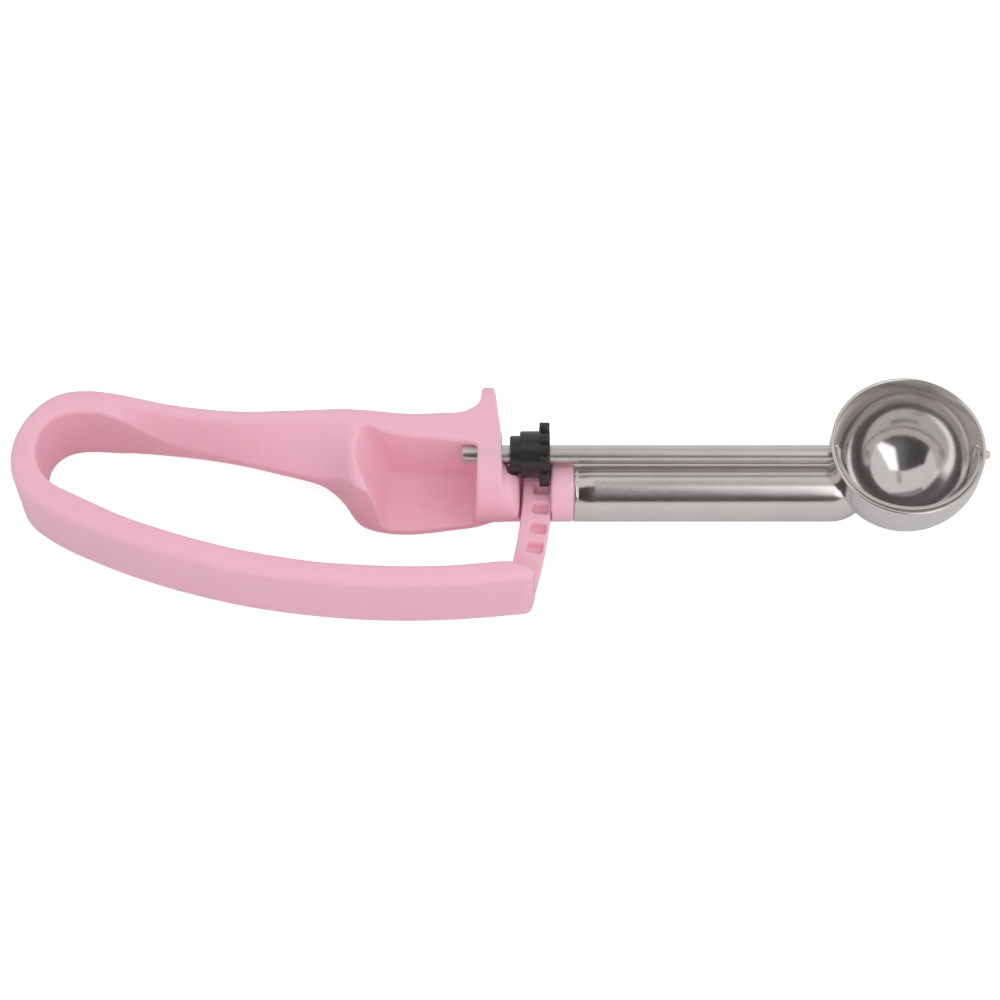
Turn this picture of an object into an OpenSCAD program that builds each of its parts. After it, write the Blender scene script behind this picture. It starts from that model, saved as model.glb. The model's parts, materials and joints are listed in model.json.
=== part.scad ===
// Squeeze-handle portion scoop, lying on its side as it is laid on a table.
//
// Frame: +X runs from the handle's loop to the bowl, +Y to the palm side and
// +Z up, out of the mouth of the bowl. The origin is under the middle of the
// object, on the surface that it lies on.
//
// The pieces are drawn about the spindle axis and placed() moves them to the
// frame. Squeezing the lever turns it about the flex axis, and its rack turns
// the pinion, the rod and the blade.

/* [Bowl] */
// Inside diameter of the bowl
bowl_inner_d = 35; // [34.6:0.1:35.4]
// Thickness of the bowl's sheet steel
bowl_wall = 0.8; // [0.6:0.1:0.8]
// Straight wall above the hemisphere
bowl_lip = 4.8; // [4:0.1:6]
// Place of the bowl's centre along the spindle
bowl_x = -0.35; // [-1:0.05:0]

/* [Scraper blade] */
// Gap between the blade and the bowl
blade_gap = 0.3; // [0.2:0.05:0.5]
// Thickness of the blade
blade_thick = 0.8; // [0.5:0.1:1]
// Width of the blade
blade_w = 6; // [5:0.5:8]
// Angle of the resting blade above the bowl's equator, on the lever's side
blade_rest = 5.5; // [3:0.5:7]

/* [Spindle] */
// Diameter of the rod
rod_d = 4.5; // [4:0.1:4.5]
// Far end of the rod, along the spindle
rod_end_x = -106; // [-107:0.1:-104]
// Radial running clearance of the rod and the rivet in their holes
running = 0.05; // [0.02:0.01:0.1]
// Diameter of the blade's pivot rivet
rivet_d = 2.2; // [1.8:0.1:2.4]
// How far the rivet stands out of the bowl
rivet_proud = 1.75; // [0.8:0.05:2]

/* [Pinion] */
// Number of teeth
pinion_teeth = 8; // [8]
// Radius over the teeth
pinion_tip_r = 7.73; // [7.6:0.01:7.75]
// Radius between the teeth, and of the large hub
pinion_root_r = 5.6; // [5.4:0.1:5.8]
// Radius of the small hub
pinion_hub_r = 4.5; // [4:0.1:4.8]
// Tooth thickness at the pitch circle
pinion_tooth_t = 1.9; // [1.7:0.05:1.95]
// Middle of the toothed disc, along the spindle
pinion_x = -86.35; // [-86.4:0.01:-86.3]
// Width of the toothed disc
pinion_face = 2.4; // [2:0.1:2.5]

/* [Rack] */
// Step between rack slots, in degrees about the flex axis
rack_step = 2.45; // [2.44:0.01:2.46]
// First slot's place about the flex axis, in degrees
rack_first = -0.4; // [-0.45:0.01:-0.35]
// Number of slots
rack_slots = 5; // [4:1:5]
// Width of a slot at the pitch line
rack_slot_w = 2.4; // [2.35:0.05:2.6]
// Depth of a slot
rack_slot_depth = 2.1; // [2:0.1:2.4]
// Inner radius of the curved rack
rack_r_in = 117; // [116.8:0.1:117.5]
// Outer radius of the curved rack
rack_r_out = 124; // [123.9:0.1:124.1]
// Thickness of the rack
rack_thick = 3.4; // [3.2:0.1:3.6]

/* [Shank] */
// Outside diameter of the tube
tube_d = 14; // [13.8:0.1:14]
// Wall of the tube
tube_wall = 0.8; // [0.6:0.1:1]
// Open end of the tube
tube_start_x = -79.3; // [-80:0.1:-78]
// Where the tube starts to round off at the bowl
tube_round_x = -18; // [-20:0.5:-17]
// Distance of the tube's axis from the spindle, towards the lever
tube_y = -6.36; // [-6.5:0.01:-6.36]
// Length of the moulded plug inside the tube
plug_len = 22; // [15:1:40]

/* [Handle moulding] */
// Depth of the handle
handle_depth = 22; // [22:0.1:22.4]
// Radius along the moulded edges
edge_r = 2; // [1:0.1:2.2]
// Thickness of the pocket's floor
floor_thick = 3.2; // [2.6:0.1:3.6]
// Left face of the bulkhead that carries the rod
bulkhead_x = -102.2; // [-102.6:0.1:-102]
// Thickness of the bulkhead
bulkhead_thick = 5.8; // [5.2:0.1:5.9]
// Tip of the thumb tab above the spindle axis
tab_tip_y = 18.2; // [16:0.1:18.5]
// Flex axis of the loop
flex_x = -208.2; // [-208.3:0.1:-208.1]

/* [Hidden] */

$fn = 96;
eps = 0.01;
pink = [0.93, 0.70, 0.77];
steel = [0.78, 0.78, 0.76];
nylon = [0.13, 0.13, 0.13];

bowl_r = bowl_inner_d / 2 + bowl_wall;
blade_r = bowl_inner_d / 2 - blade_gap;
blade_inner_r = blade_r - blade_thick;
rod_r = rod_d / 2;
rivet_r = rivet_d / 2;
mid_z = -bowl_r + handle_depth / 2;
floor_z = -bowl_r + floor_thick;
top_z = mid_z + handle_depth / 2;
bulkhead_right_x = bulkhead_x + bulkhead_thick;

// The rack rolls on the pinion at this distance from the flex axis.
mesh_r = pinion_x - flex_x;
rack_pitch = mesh_r * rack_step * PI / 180;
pitch_r = rack_pitch * pinion_teeth / (2 * PI);
pressure_angle = 20;
rack_top_z = -5.9;
rack_bottom_z = rack_top_z - rack_thick;
rack_root_angle = -15.9;
rack_tip_angle = 1.35;
rack_slot_r_in = 119.6;
rack_slot_r_out = rack_r_out - 0.6;
sliding = 0.3;

// The moulding is one bent strip. Each station is
// [outer x, outer y, inner x, inner y, half depth outside, half depth inside].
// It starts under the bulkhead, runs back along the palm side, round the loop
// and forward along the lever.
half = handle_depth / 2;
thin = 1.75;
body_stations = [
    [-97.4, 9.4, -97.4, -9.0, half, half],
    [-100.2, 10.0, -100.2, -10.0, half, half],
    [-103.6, 10.2, -103.6, -11.0, half, half],
    [-108.8, 10.2, -108.8, -11.7, half, half],
    [-113.6, 10.0, -113.6, -12.4, half, half],
    [-118.5, 9.9, -118.5, -12.8, half, half],
    [-123.5, 10.3, -123.5, -12.6, half, half],
    [-127.8, 10.8, -127.8, -11.7, half, half],
    [-130.6, 11.0, -130.6, -10.3, half, half],
    [-132.3, 11.15, -132.3, -8.6, half, 10.1],
    [-134.1, 11.25, -134.1, -6.6, half, 8.0],
    [-136.6, 11.2, -136.6, -5.0, half, 5.0],
    [-140.6, 11.0, -140.6, -3.5, half, 2.3],
    [-149.5, 10.7, -149.5, -1.2, half, thin],
    [-159, 10.5, -159, 1.3, half, thin + 0.1],
    [-168.6, 11.3, -168.6, 3.5, half, 2.7],
    [-177, 12.6, -177, 5.2, half, 4.2],
    [-185.5, 14.6, -185.2, 7.8, half, 8.2],
    [-192, 15.8, -191.4, 9.3, half, half - 0.2],
    [-196.5, 16.1, -196.0, 9.7, half, half]];
bend_stations = [
    [-196.5, 16.1, -196.0, 9.7, half, half],
    [-201.4, 15.5, -200.0, 9.4, half, half],
    [-205.7, 13.2, -203.2, 8.1, half, half],
    [-209.3, 9.4, -205.4, 5.9, half, half],
    [-211.8, 4.6, -206.5, 3.0, half, half],
    [-212.8, -0.6, -206.7, -0.4, half, half],
    [-212.4, -5.5, -206.0, -4.1, half, half],
    [-210.4, -10.1, -204.1, -7.1, half, half],
    [-206.6, -13.6, -201.8, -9.3, half, half]];
lever_stations = [
    [-206.6, -13.6, -201.8, -9.3, half, half],
    [-201.4, -16.9, -198.2, -11.2, half, half],
    [-195.9, -19.6, -193.2, -13.7, half, half],
    [-187.0, -23.4, -185.0, -17.6, half, half],
    [-176.8, -27.0, -175.1, -21.2, half, half],
    [-168.2, -29.5, -166.8, -23.8, half, half],
    [-158.7, -31.8, -157.6, -26.2, half, half],
    [-149.1, -33.5, -148.3, -28.0, half, half],
    [-139.6, -34.7, -139.0, -29.4, half, half],
    [-130.0, -35.5, -129.7, -30.1, half, half],
    [-120.0, -35.8, -120.0, -30.5, half, half],
    [-110.0, -35.6, -110.2, -30.4, half, half],
    [-102.0, -35.1, -102.4, -29.8, half, half],
    [-97.0, -34.6, -97.2, -29.3, half, half],
    [-94.4, -34.35, -94.1, -29.3, half, half],
    [-92.1, -34.1, -91.0, -30.1, half, half]];
lever_outer_y = -35.8;

// The frame's origin is the middle of the whole object's box, at its foot.
loop_end_x = -212.8;
nub_end_x = bowl_x + bowl_r + rivet_proud;
frame_shift = [-(loop_end_x + nub_end_x) / 2, -(bowl_r + lever_outer_y) / 2, bowl_r];

// ---- helpers ----

module placed() translate(frame_shift) children();

module at_bowl() translate([bowl_x, 0, 0]) children();

// A cylinder along the spindle's direction, from x0 to x1.
module along_x(x0, x1, r) translate([x0, 0, 0]) rotate([0, 90, 0]) cylinder(h = x1 - x0, r = r);

// A smooth curve through the stations, with n steps between two of them.
function blend4(a, b, c, d, t) =
    0.5 * (2 * b + (c - a) * t + (2 * a - 5 * b + 4 * c - d) * t * t + (3 * b - a - 3 * c + d) * t * t * t);
function smoothed(s, n) = let (last = len(s) - 1) concat(
    [for (i = [0 : last - 1], k = [0 : n - 1])
        blend4(s[max(i - 1, 0)], s[i], s[i + 1], s[min(i + 2, last)], k / n)],
    [s[last]]);

// A quarter-like arc of the ring's section, from angle a to angle b.
arc_steps = 4;
function arc(u, v, r, a, b) =
    [for (k = [0 : arc_steps]) let (w = a + (b - a) * k / arc_steps) [u + r * cos(w), v + r * sin(w)]];

// Section of the strip: u runs from its inner to its outer face, v along its
// depth. The faces between the rounded corners are tangent to them.
function section(w, ho, hi, r) = let (
    ro = min(r, ho, 0.45 * w), ri = min(r, hi - 0.05, 0.45 * w),
    du = ri - (w - ro), dv = (hi - ri) - (ho - ro),
    a = atan2(dv, du) + (dv < 0 ? 360 : 0) - acos((ro - ri) / norm([du, dv])))
    concat(arc(w - ro, ro - ho, ro, -a, 0), arc(w - ro, ho - ro, ro, 0, a),
           arc(ri, hi - ri, ri, a, 180), arc(ri, ri - hi, ri, 180, 360 - a));

// One station's section as points in space, drawn in by inset on every side.
function ring(s, inset = 0) = let (
    outer = [s[0], s[1]], inner = [s[2], s[3]], w = norm(outer - inner), dir = (outer - inner) / w)
    [for (p = section(w - 2 * inset, s[4] - inset, min(s[5], half) - inset, edge_r - 0.6 * inset))
        let (q = inner + dir * (p[0] + inset)) [q[0], q[1], mid_z + p[1]]];

// A closed solid over a list of rings.
module skin(rings) {
    m = len(rings[0]);
    n = len(rings);
    sides = [for (i = [0 : n - 2], j = [0 : m - 1]) let (k = (j + 1) % m)
        each [[i * m + j, i * m + k, (i + 1) * m + k], [i * m + j, (i + 1) * m + k, (i + 1) * m + j]]];
    first = [for (j = [m - 1 : -1 : 0]) j];
    last = [for (j = [0 : m - 1]) (n - 1) * m + j];
    polyhedron(points = [for (r = rings) each r], faces = concat([first], sides, [last]), convexity = 6);
}

// ---- the handle moulding ----

// The pocket behind the bulkhead, open upwards and towards the lever.
module pocket_space() {
    far = -45;
    right = bulkhead_x;
    module between(low, high) hull() {
        translate([0, 0, floor_z]) linear_extrude(eps) polygon(low);
        translate([0, 0, top_z]) linear_extrude(1) polygon(high);
    }
    between([[-122.8, 1.5], [-122, 1.5], [-122, far], [-125, far]],
            [[-131.6, 7.9], [-129.6, 7.2], [-122.4, 4.3], [-122, 4.3], [-122, far], [-132, far]]);
    between([[-122.8, 1.5], [right, 1.5], [right, far], [-122.8, far]],
            [[-122.8, 4.4], [-122.4, 4.3], [right, 2.2], [right, far], [-122.8, far]]);
}

// The thumb tab: its plan with the hollow that leads up to it, and its
// rounded shoulders seen along the spindle.
module tab_plan() polygon([
    [bulkhead_right_x, 2.4], [-98, tab_tip_y - 2.4],
    each [for (k = [0 : 8]) let (a = 5 + k * 21.25) [-99.7 + 1.6 * cos(a), tab_tip_y - 1.6 + 1.6 * sin(a)]],
    [-101.4, 14], [-101.8, 12.8], [-102.4, 11.9], [-103.6, 10.9], [-105.2, 10.1], [-107, 9.7], [-109, 9.4],
    [-109, 5], [bulkhead_x, 2.4]]);
module tab_shoulders() hull() {
    translate([-5, mid_z - half]) square([10, handle_depth]);
    for (side = [-1, 1]) translate([tab_tip_y - 5, mid_z + side * (half - 5)]) circle(r = 5);
}
module thumb_tab() intersection() {
    translate([0, 0, mid_z - half]) linear_extrude(handle_depth) tab_plan();
    translate([-115, 0, 0]) rotate([90, 0, 90]) linear_extrude(30) tab_shoulders();
}

// The bulkhead: square towards the palm and half an ellipse towards the lever.
bulkhead_mid_y = 2.7;
bulkhead_near = 16.1;
module bulkhead_face() polygon(concat(
    [for (k = [0 : 24]) let (a = 90 + k * 7.5)
        [bulkhead_mid_y + bulkhead_near * cos(a), mid_z + half * sin(a)]],
    [[4, mid_z - half], [4, mid_z + half]]));
module bulkhead() translate([bulkhead_x, 0, 0]) rotate([90, 0, 90]) linear_extrude(bulkhead_thick) bulkhead_face();

module neck() translate([0, tube_y, mid_z]) {
    along_x(bulkhead_right_x - 1, tube_start_x, tube_d / 2);
    along_x(tube_start_x - 1, tube_start_x + plug_len, tube_d / 2 - tube_wall);
}

// The cross slot for the rack, which is open on top for the pinion.
module rack_channel() {
    left = flex_x + sqrt(pow(rack_r_in, 2) - pow(tube_y - tube_d / 2, 2)) - sliding;
    foot = rack_bottom_z - sliding;
    intersection() {
        translate([left, -30, foot]) cube([20, 45, 20]);
        translate([flex_x, 0, foot - 1]) cylinder(h = 22, r = rack_r_out + sliding, $fn = 720);
    }
}

module handle_body() color(pink) placed() difference() {
    union() {
        difference() {
            skin([for (s = smoothed(body_stations, 2)) ring(s)]);
            pocket_space();
            translate([bulkhead_x - eps, -45, floor_z]) cube([12, 45 + 1, 30]);
        }
        thumb_tab();
        bulkhead();
        neck();
    }
    along_x(bulkhead_x - 1, bulkhead_right_x + 1, rod_r + running);
    along_x(rod_end_x - 0.5, bulkhead_x, rod_r + sliding);
    along_x(bulkhead_right_x + 1.6, -90, pinion_hub_r + sliding);
    rack_channel();
}

// The part of the strip that bends when the lever is squeezed.
module spring_bend() color(pink) placed() skin([for (s = smoothed(bend_stations, 3)) ring(s)]);

// ---- the lever and its rack ----

// Cutter of one rack slot: a straight-sided space for a pinion tooth.
module rack_slot() {
    pitch_z = -pitch_r;
    function width_at(z) = rack_slot_w / 2 + (z - pitch_z) * tan(pressure_angle);
    low = rack_top_z - rack_slot_depth;
    high = rack_top_z + 0.5;
    translate([rack_slot_r_in, 0, 0]) rotate([90, 0, 90]) linear_extrude(rack_slot_r_out - rack_slot_r_in)
        polygon([[-width_at(low), low], [width_at(low), low], [width_at(high), high], [-width_at(high), high]]);
}

module rack_blank() rotate([0, 0, rack_root_angle]) rotate_extrude(angle = rack_tip_angle - rack_root_angle, $fn = 360)
    translate([rack_r_in, rack_bottom_z]) square([rack_r_out - rack_r_in, rack_thick]);

module squeeze_lever() color(pink) placed() difference() {
    union() {
        stations = smoothed(lever_stations, 2);
        front = stations[len(stations) - 1];
        nose = [1.2, -0.1, 1.2, -0.1, 0, 0];
        // The lever starts a hundredth of a millimetre past the end of the bend.
        past = [0.008, -0.005, 0.008, -0.005, 0, 0];
        skin(concat([for (i = [0 : len(stations) - 1]) ring(i == 0 ? stations[0] + past : stations[i])],
            [for (k = [1 : 3]) let (a = 30 * k) ring(front + nose * edge_r * sin(a), edge_r * (1 - cos(a)) * 0.8)]));
        translate([flex_x, 0, 0]) rack_blank();
    }
    translate([flex_x, 0, 0]) for (i = [0 : rack_slots - 1]) rotate([0, 0, rack_first - i * rack_step]) rack_slot();
}

// ---- the sheet-metal pieces ----

// Half section of the tube: the axis is up the page and the round end is on top.
module tube_profile(r, len) polygon(concat([[0, tube_start_x], [r, tube_start_x]],
    [for (k = [0 : 18]) let (a = 5 * k) [r * cos(a), tube_round_x + len * sin(a)]]));

module shank_tube() color(steel) placed() difference() {
    translate([0, tube_y, mid_z]) rotate([0, 90, 0]) rotate_extrude() difference() {
        tube_profile(tube_d / 2, 8.5);
        translate([0, -eps]) tube_profile(tube_d / 2 - tube_wall, 8.5 - tube_wall);
    }
    at_bowl() sphere(r = bowl_r);
}

module bowl() color(steel) placed() at_bowl() difference() {
    rotate_extrude() difference() {
        union() {
            intersection() {
                circle(r = bowl_r);
                translate([0, -bowl_r]) square(bowl_r);
            }
            square([bowl_r, bowl_lip]);
        }
        circle(r = bowl_inner_d / 2);
        square([bowl_inner_d / 2, bowl_lip + 1]);
    }
    along_x(-bowl_r - 1, -bowl_r / 2, rod_r + running);
    along_x(bowl_r / 2, bowl_r + 1, rivet_r + running);
}

// ---- the spindle ----

tenon_r = 1.5;

module spindle_rod() color(steel) placed() at_bowl() rotate([0, 90, 0]) rotate_extrude()
    let (end = rod_end_x - bowl_x) polygon([[0, end], [rod_r - 0.4, end], [rod_r, end + 0.4],
        [rod_r, -blade_r - 0.1], [tenon_r, -blade_r - 0.1], [tenon_r, -blade_inner_r + 0.15],
        [tenon_r + 0.5, -blade_inner_r + 0.15], [tenon_r + 0.4, -blade_inner_r + 0.7], [0, -blade_inner_r + 0.9]]);

// Involute tooth outline of the pinion, with its tooth on the -Z side leaning
// as far as the first rack slot stands from the mesh line.
base_r = pitch_r * cos(pressure_angle);
function involute(r) = let (a = acos(min(1, base_r / r))) tan(a) * 180 / PI - a;
function half_tooth(r) = pinion_tooth_t / 2 / pitch_r * 180 / PI + involute(pitch_r) - involute(max(r, base_r));
flank_steps = 5;
function flank_r(k) = base_r + (pinion_tip_r - base_r) * k / flank_steps;
module pinion_outline() polygon([for (i = [0 : pinion_teeth - 1]) let (mid = i * 360 / pinion_teeth) each concat(
    [let (a = mid - half_tooth(base_r)) pinion_root_r * [cos(a), sin(a)]],
    [for (k = [0 : flank_steps]) let (r = flank_r(k), a = mid - half_tooth(r)) r * [cos(a), sin(a)]],
    [for (k = [flank_steps : -1 : 0]) let (r = flank_r(k), a = mid + half_tooth(r)) r * [cos(a), sin(a)]],
    [let (a = mid + half_tooth(base_r)) pinion_root_r * [cos(a), sin(a)]])]);

module drive_pinion() color(nylon) placed() {
    face_left = pinion_x - pinion_face / 2;
    small_hub = 2.4;
    large_hub = 4.6;
    lean = mesh_r * sin(rack_first) / pitch_r * 180 / PI;
    difference() {
        union() {
            translate([face_left, 0, 0]) rotate([-90 + lean, 0, 0]) rotate([90, 0, 90])
                linear_extrude(pinion_face) pinion_outline();
            along_x(face_left - large_hub, face_left + pinion_face, pinion_root_r);
            along_x(face_left - large_hub - small_hub, face_left, pinion_hub_r);
        }
        along_x(face_left - 20, face_left + 20, rod_r);
    }
}

module scraper_blade() color(steel) placed() at_bowl() difference() {
    intersection() {
        difference() {
            sphere(r = blade_r);
            sphere(r = blade_inner_r);
        }
        union() {
            rotate([-blade_rest, 0, 0]) translate([-blade_r - 1, -blade_r - 1, -blade_w / 2])
                cube([2 * blade_r + 2, blade_r + 1, blade_w]);
            along_x(-blade_r - 1, blade_r + 1, blade_w / 2);
        }
    }
    along_x(-blade_r - 1, 0, tenon_r);
    along_x(0, blade_r + 1, rivet_r);
}

module pivot_rivet() color(steel) placed() at_bowl() rotate([0, 90, 0]) rotate_extrude()
    let (end = bowl_r + rivet_proud) polygon([[0, blade_inner_r - 0.9], [rivet_r + 0.5, blade_inner_r - 0.7],
        [rivet_r + 0.8, blade_inner_r - 0.15], [rivet_r, blade_inner_r - 0.15], [rivet_r, end - 0.7],
        [rivet_r * 0.55, end - 0.1], [0, end]]);

handle_body();
spring_bend();
squeeze_lever();
shank_tube();
bowl();
spindle_rod();
drive_pinion();
scraper_blade();
pivot_rivet();
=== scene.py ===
"""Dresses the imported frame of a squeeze-handle portion scoop.

The scoop lies on its side with the bowl's mouth up. Its pieces are drawn in
millimetres about the spindle's axis and are moved to the frame when they are
made.
"""

from __future__ import annotations

import json
import logging
import math
from dataclasses import dataclass, field
from enum import Enum
from typing import Iterable, Sequence

import bmesh
import bpy
from mathutils import Matrix, Vector

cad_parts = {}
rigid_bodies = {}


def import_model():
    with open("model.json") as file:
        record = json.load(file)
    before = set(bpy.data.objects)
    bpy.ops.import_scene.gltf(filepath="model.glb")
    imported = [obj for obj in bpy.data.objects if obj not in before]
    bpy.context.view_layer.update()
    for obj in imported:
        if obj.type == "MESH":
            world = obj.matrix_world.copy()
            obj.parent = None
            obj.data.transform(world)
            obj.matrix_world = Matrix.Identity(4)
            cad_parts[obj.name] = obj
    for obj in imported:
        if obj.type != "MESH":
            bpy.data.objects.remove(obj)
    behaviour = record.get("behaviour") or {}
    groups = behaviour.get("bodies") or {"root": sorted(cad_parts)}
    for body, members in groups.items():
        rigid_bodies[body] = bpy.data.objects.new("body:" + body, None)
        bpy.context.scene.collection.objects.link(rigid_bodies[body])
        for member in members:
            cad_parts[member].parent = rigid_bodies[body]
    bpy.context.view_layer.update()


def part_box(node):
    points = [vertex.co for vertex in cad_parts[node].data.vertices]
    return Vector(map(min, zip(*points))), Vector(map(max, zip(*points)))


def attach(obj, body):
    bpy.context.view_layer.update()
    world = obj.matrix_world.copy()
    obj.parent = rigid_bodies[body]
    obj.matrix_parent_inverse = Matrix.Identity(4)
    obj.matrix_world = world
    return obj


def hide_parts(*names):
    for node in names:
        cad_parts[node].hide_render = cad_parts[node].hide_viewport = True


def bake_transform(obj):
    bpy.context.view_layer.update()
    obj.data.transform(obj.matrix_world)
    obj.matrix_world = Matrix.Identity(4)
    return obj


log = logging.getLogger("scoop")

Pair = tuple[float, float]
Point = tuple[float, float, float]
Profile = Sequence[Pair]
Colour = tuple[float, float, float]
Solid = bpy.types.Object
Socket = bpy.types.NodeSocket
Finish = bpy.types.Material
Group = bpy.types.ShaderNodeTree

MM = 0.001
# The bowl's centre along the spindle, from the drawing's zero, in millimetres.
BOWL_X = -0.35
# The axis about which the loop lets the lever turn, in millimetres.
FLEX: Pair = (-208.2, 0.0)


# ---------------------------------------------------------------- mesh tools


class Cut(Enum):
    """How one solid is joined to another."""

    REMOVE = "DIFFERENCE"
    KEEP = "INTERSECT"
    ADD = "UNION"


def arc(centre: Pair, radii: Pair, angles: Iterable[float]) -> list[Pair]:
    """Gives points on a circle or an ellipse.

    Args:
        centre: its centre.
        radii: its radius along the first and the second direction.
        angles: the points' angles in degrees.

    Returns:
        The points.
    """
    turns = [math.radians(a) for a in angles]
    return [(centre[0] + radii[0] * math.cos(a), centre[1] + radii[1] * math.sin(a)) for a in turns]


@dataclass
class Workshop:
    """Makes meshes in millimetres and places them in the frame.

    Args:
        origin: where the drawing's zero is in the frame, in metres.
    """

    origin: Vector

    def solid(self, name: str, points: Sequence[Point], faces: Sequence[Sequence[int]]) -> Solid:
        """Makes an object from points and faces.

        Args:
            name: the object's name.
            points: corner points in millimetres.
            faces: indices of each face's corners.

        Returns:
            The new object, still in millimetres.
        """
        mesh = bpy.data.meshes.new(name)
        mesh.from_pydata([tuple(p) for p in points], [], [list(f) for f in faces])
        work = bmesh.new()
        work.from_mesh(mesh)
        bmesh.ops.recalc_face_normals(work, faces=work.faces)
        work.to_mesh(mesh)
        work.free()
        made = bpy.data.objects.new(name, mesh)
        bpy.context.scene.collection.objects.link(made)
        return made

    def loft(self, name: str, rings: Sequence[Sequence[Point]]) -> Solid:
        """Makes a closed solid over rings of points.

        Args:
            name: the object's name.
            rings: sections in order, each with the same number of points.

        Returns:
            The new object.
        """
        count = len(rings[0])
        faces: list[list[int]] = []
        for i in range(len(rings) - 1):
            for j in range(count):
                k = (j + 1) % count
                faces.append([i * count + j, i * count + k, (i + 1) * count + k, (i + 1) * count + j])
        faces.append(list(range(count)))
        faces.append([(len(rings) - 1) * count + j for j in range(count)])
        return self.solid(name, [p for ring in rings for p in ring], faces)

    def lathe(self, name: str, profile: Profile, steps: int, centre: Pair = (0.0, 0.0)) -> Solid:
        """Turns a profile about a line along X.

        Args:
            name: the object's name.
            profile: radius and X of each point, closed from last to first.
            steps: number of points round the turn.
            centre: Y and Z of the line.

        Returns:
            The new object.
        """
        points: list[Point] = []
        faces: list[list[int]] = []
        rings: list[list[int]] = []
        for radius, x in profile:
            if radius < 1e-6:
                points.append((x, centre[0], centre[1]))
                rings.append([len(points) - 1] * steps)
                continue
            ring = []
            for k in range(steps):
                turned = 2 * math.pi * k / steps
                y = centre[0] + radius * math.cos(turned)
                z = centre[1] + radius * math.sin(turned)
                points.append((x, y, z))
                ring.append(len(points) - 1)
            rings.append(ring)
        closed = profile[0][0] > 1e-6 or profile[-1][0] > 1e-6
        for i in range(len(rings) if closed else len(rings) - 1):
            one, two = rings[i], rings[(i + 1) % len(rings)]
            for k in range(steps):
                n = (k + 1) % steps
                face = list(dict.fromkeys([one[k], one[n], two[n], two[k]]))
                if len(face) > 2:
                    faces.append(face)
        return self.solid(name, points, faces)

    def bar(self, name: str, radius: float, low: float, high: float) -> Solid:
        """Makes a round bar about the spindle's axis.

        Args:
            name: the object's name.
            radius: its radius.
            low: X of its left end.
            high: X of its right end.

        Returns:
            The bar.
        """
        return self.lathe(name, [(0.0, low), (radius, low), (radius, high), (0.0, high)], 64)

    def at_bowl(self, thing: Solid) -> Solid:
        """Moves what is drawn about zero to the bowl's centre."""
        thing.data.transform(Matrix.Translation((BOWL_X, 0.0, 0.0)))
        return thing

    def prism(self, name: str, outline: Profile, low: float, high: float, along: str = "x") -> Solid:
        """Pulls a flat outline into a solid.

        Args:
            name: the object's name.
            outline: Y and Z of each corner along X, or X and Y along Z.
            low: where the solid starts.
            high: where it ends.
            along: x or z.

        Returns:
            The new object.
        """
        count = len(outline)
        if along == "x":
            points = [(end, a, b) for end in (low, high) for a, b in outline]
        else:
            points = [(a, b, end) for end in (low, high) for a, b in outline]
        faces = [[j, (j + 1) % count, count + (j + 1) % count, count + j] for j in range(count)]
        faces += [list(range(count)), list(range(count, 2 * count))]
        return self.solid(name, points, faces)

    def hull(self, name: str, points: Sequence[Point]) -> Solid:
        """Makes the smallest convex solid round some points.

        Args:
            name: the object's name.
            points: points in millimetres.

        Returns:
            The new object.
        """
        mesh = bpy.data.meshes.new(name)
        work = bmesh.new()
        for point in points:
            work.verts.new(point)
        made = bmesh.ops.convex_hull(work, input=work.verts)
        inside = set(made["geom_unused"] + made["geom_interior"])
        spare = [item for item in inside if isinstance(item, bmesh.types.BMVert)]
        bmesh.ops.delete(work, geom=spare, context="VERTS")
        work.to_mesh(mesh)
        work.free()
        result = bpy.data.objects.new(name, mesh)
        bpy.context.scene.collection.objects.link(result)
        return result

    def settle(self, thing: Solid) -> Solid:
        """Turns an object's modifiers into plain mesh.

        Args:
            thing: the object.

        Returns:
            The same object.
        """
        bpy.context.view_layer.update()
        graph = bpy.context.evaluated_depsgraph_get()
        mesh = bpy.data.meshes.new_from_object(thing.evaluated_get(graph))
        old = thing.data
        thing.modifiers.clear()
        thing.data = mesh
        bpy.data.meshes.remove(old)
        return thing

    def combine(self, thing: Solid, tools: Sequence[Solid], how: Cut) -> Solid:
        """Cuts or joins an object with others, which are used up.

        Args:
            thing: the object that stays.
            tools: the objects that it is combined with.
            how: the kind of cut.

        Returns:
            The same object.
        """
        for tool in tools:
            step = thing.modifiers.new("cut", "BOOLEAN")
            step.operation = how.value
            step.solver = "EXACT"
            step.object = tool
        self.settle(thing)
        for tool in tools:
            mesh = tool.data
            bpy.data.objects.remove(tool)
            bpy.data.meshes.remove(mesh)
        return thing

    def gather(self, name: str, parts: Sequence[Solid]) -> Solid:
        """Puts several meshes in one object, without joining their surfaces.

        Args:
            name: the new object's name.
            parts: the objects, which are used up.

        Returns:
            The new object.
        """
        work = bmesh.new()
        for part in parts:
            work.from_mesh(part.data)
            mesh = part.data
            bpy.data.objects.remove(part)
            bpy.data.meshes.remove(mesh)
        mesh = bpy.data.meshes.new(name)
        work.to_mesh(mesh)
        work.free()
        made = bpy.data.objects.new(name, mesh)
        bpy.context.scene.collection.objects.link(made)
        return made

    def mould(self, thing: Solid, grain: float, softness: int) -> Solid:
        """Fuses overlapping solids into one skin with softly rounded corners.

        Args:
            thing: the object.
            grain: size of the skin's cells in millimetres.
            softness: how many times the skin is smoothed.

        Returns:
            The same object.
        """
        step = thing.modifiers.new("fuse", "REMESH")
        step.mode = "VOXEL"
        step.voxel_size = grain
        step.use_smooth_shade = True
        smooth = thing.modifiers.new("soften", "SMOOTH")
        smooth.factor = 0.5
        smooth.iterations = softness
        return self.settle(thing)

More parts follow.
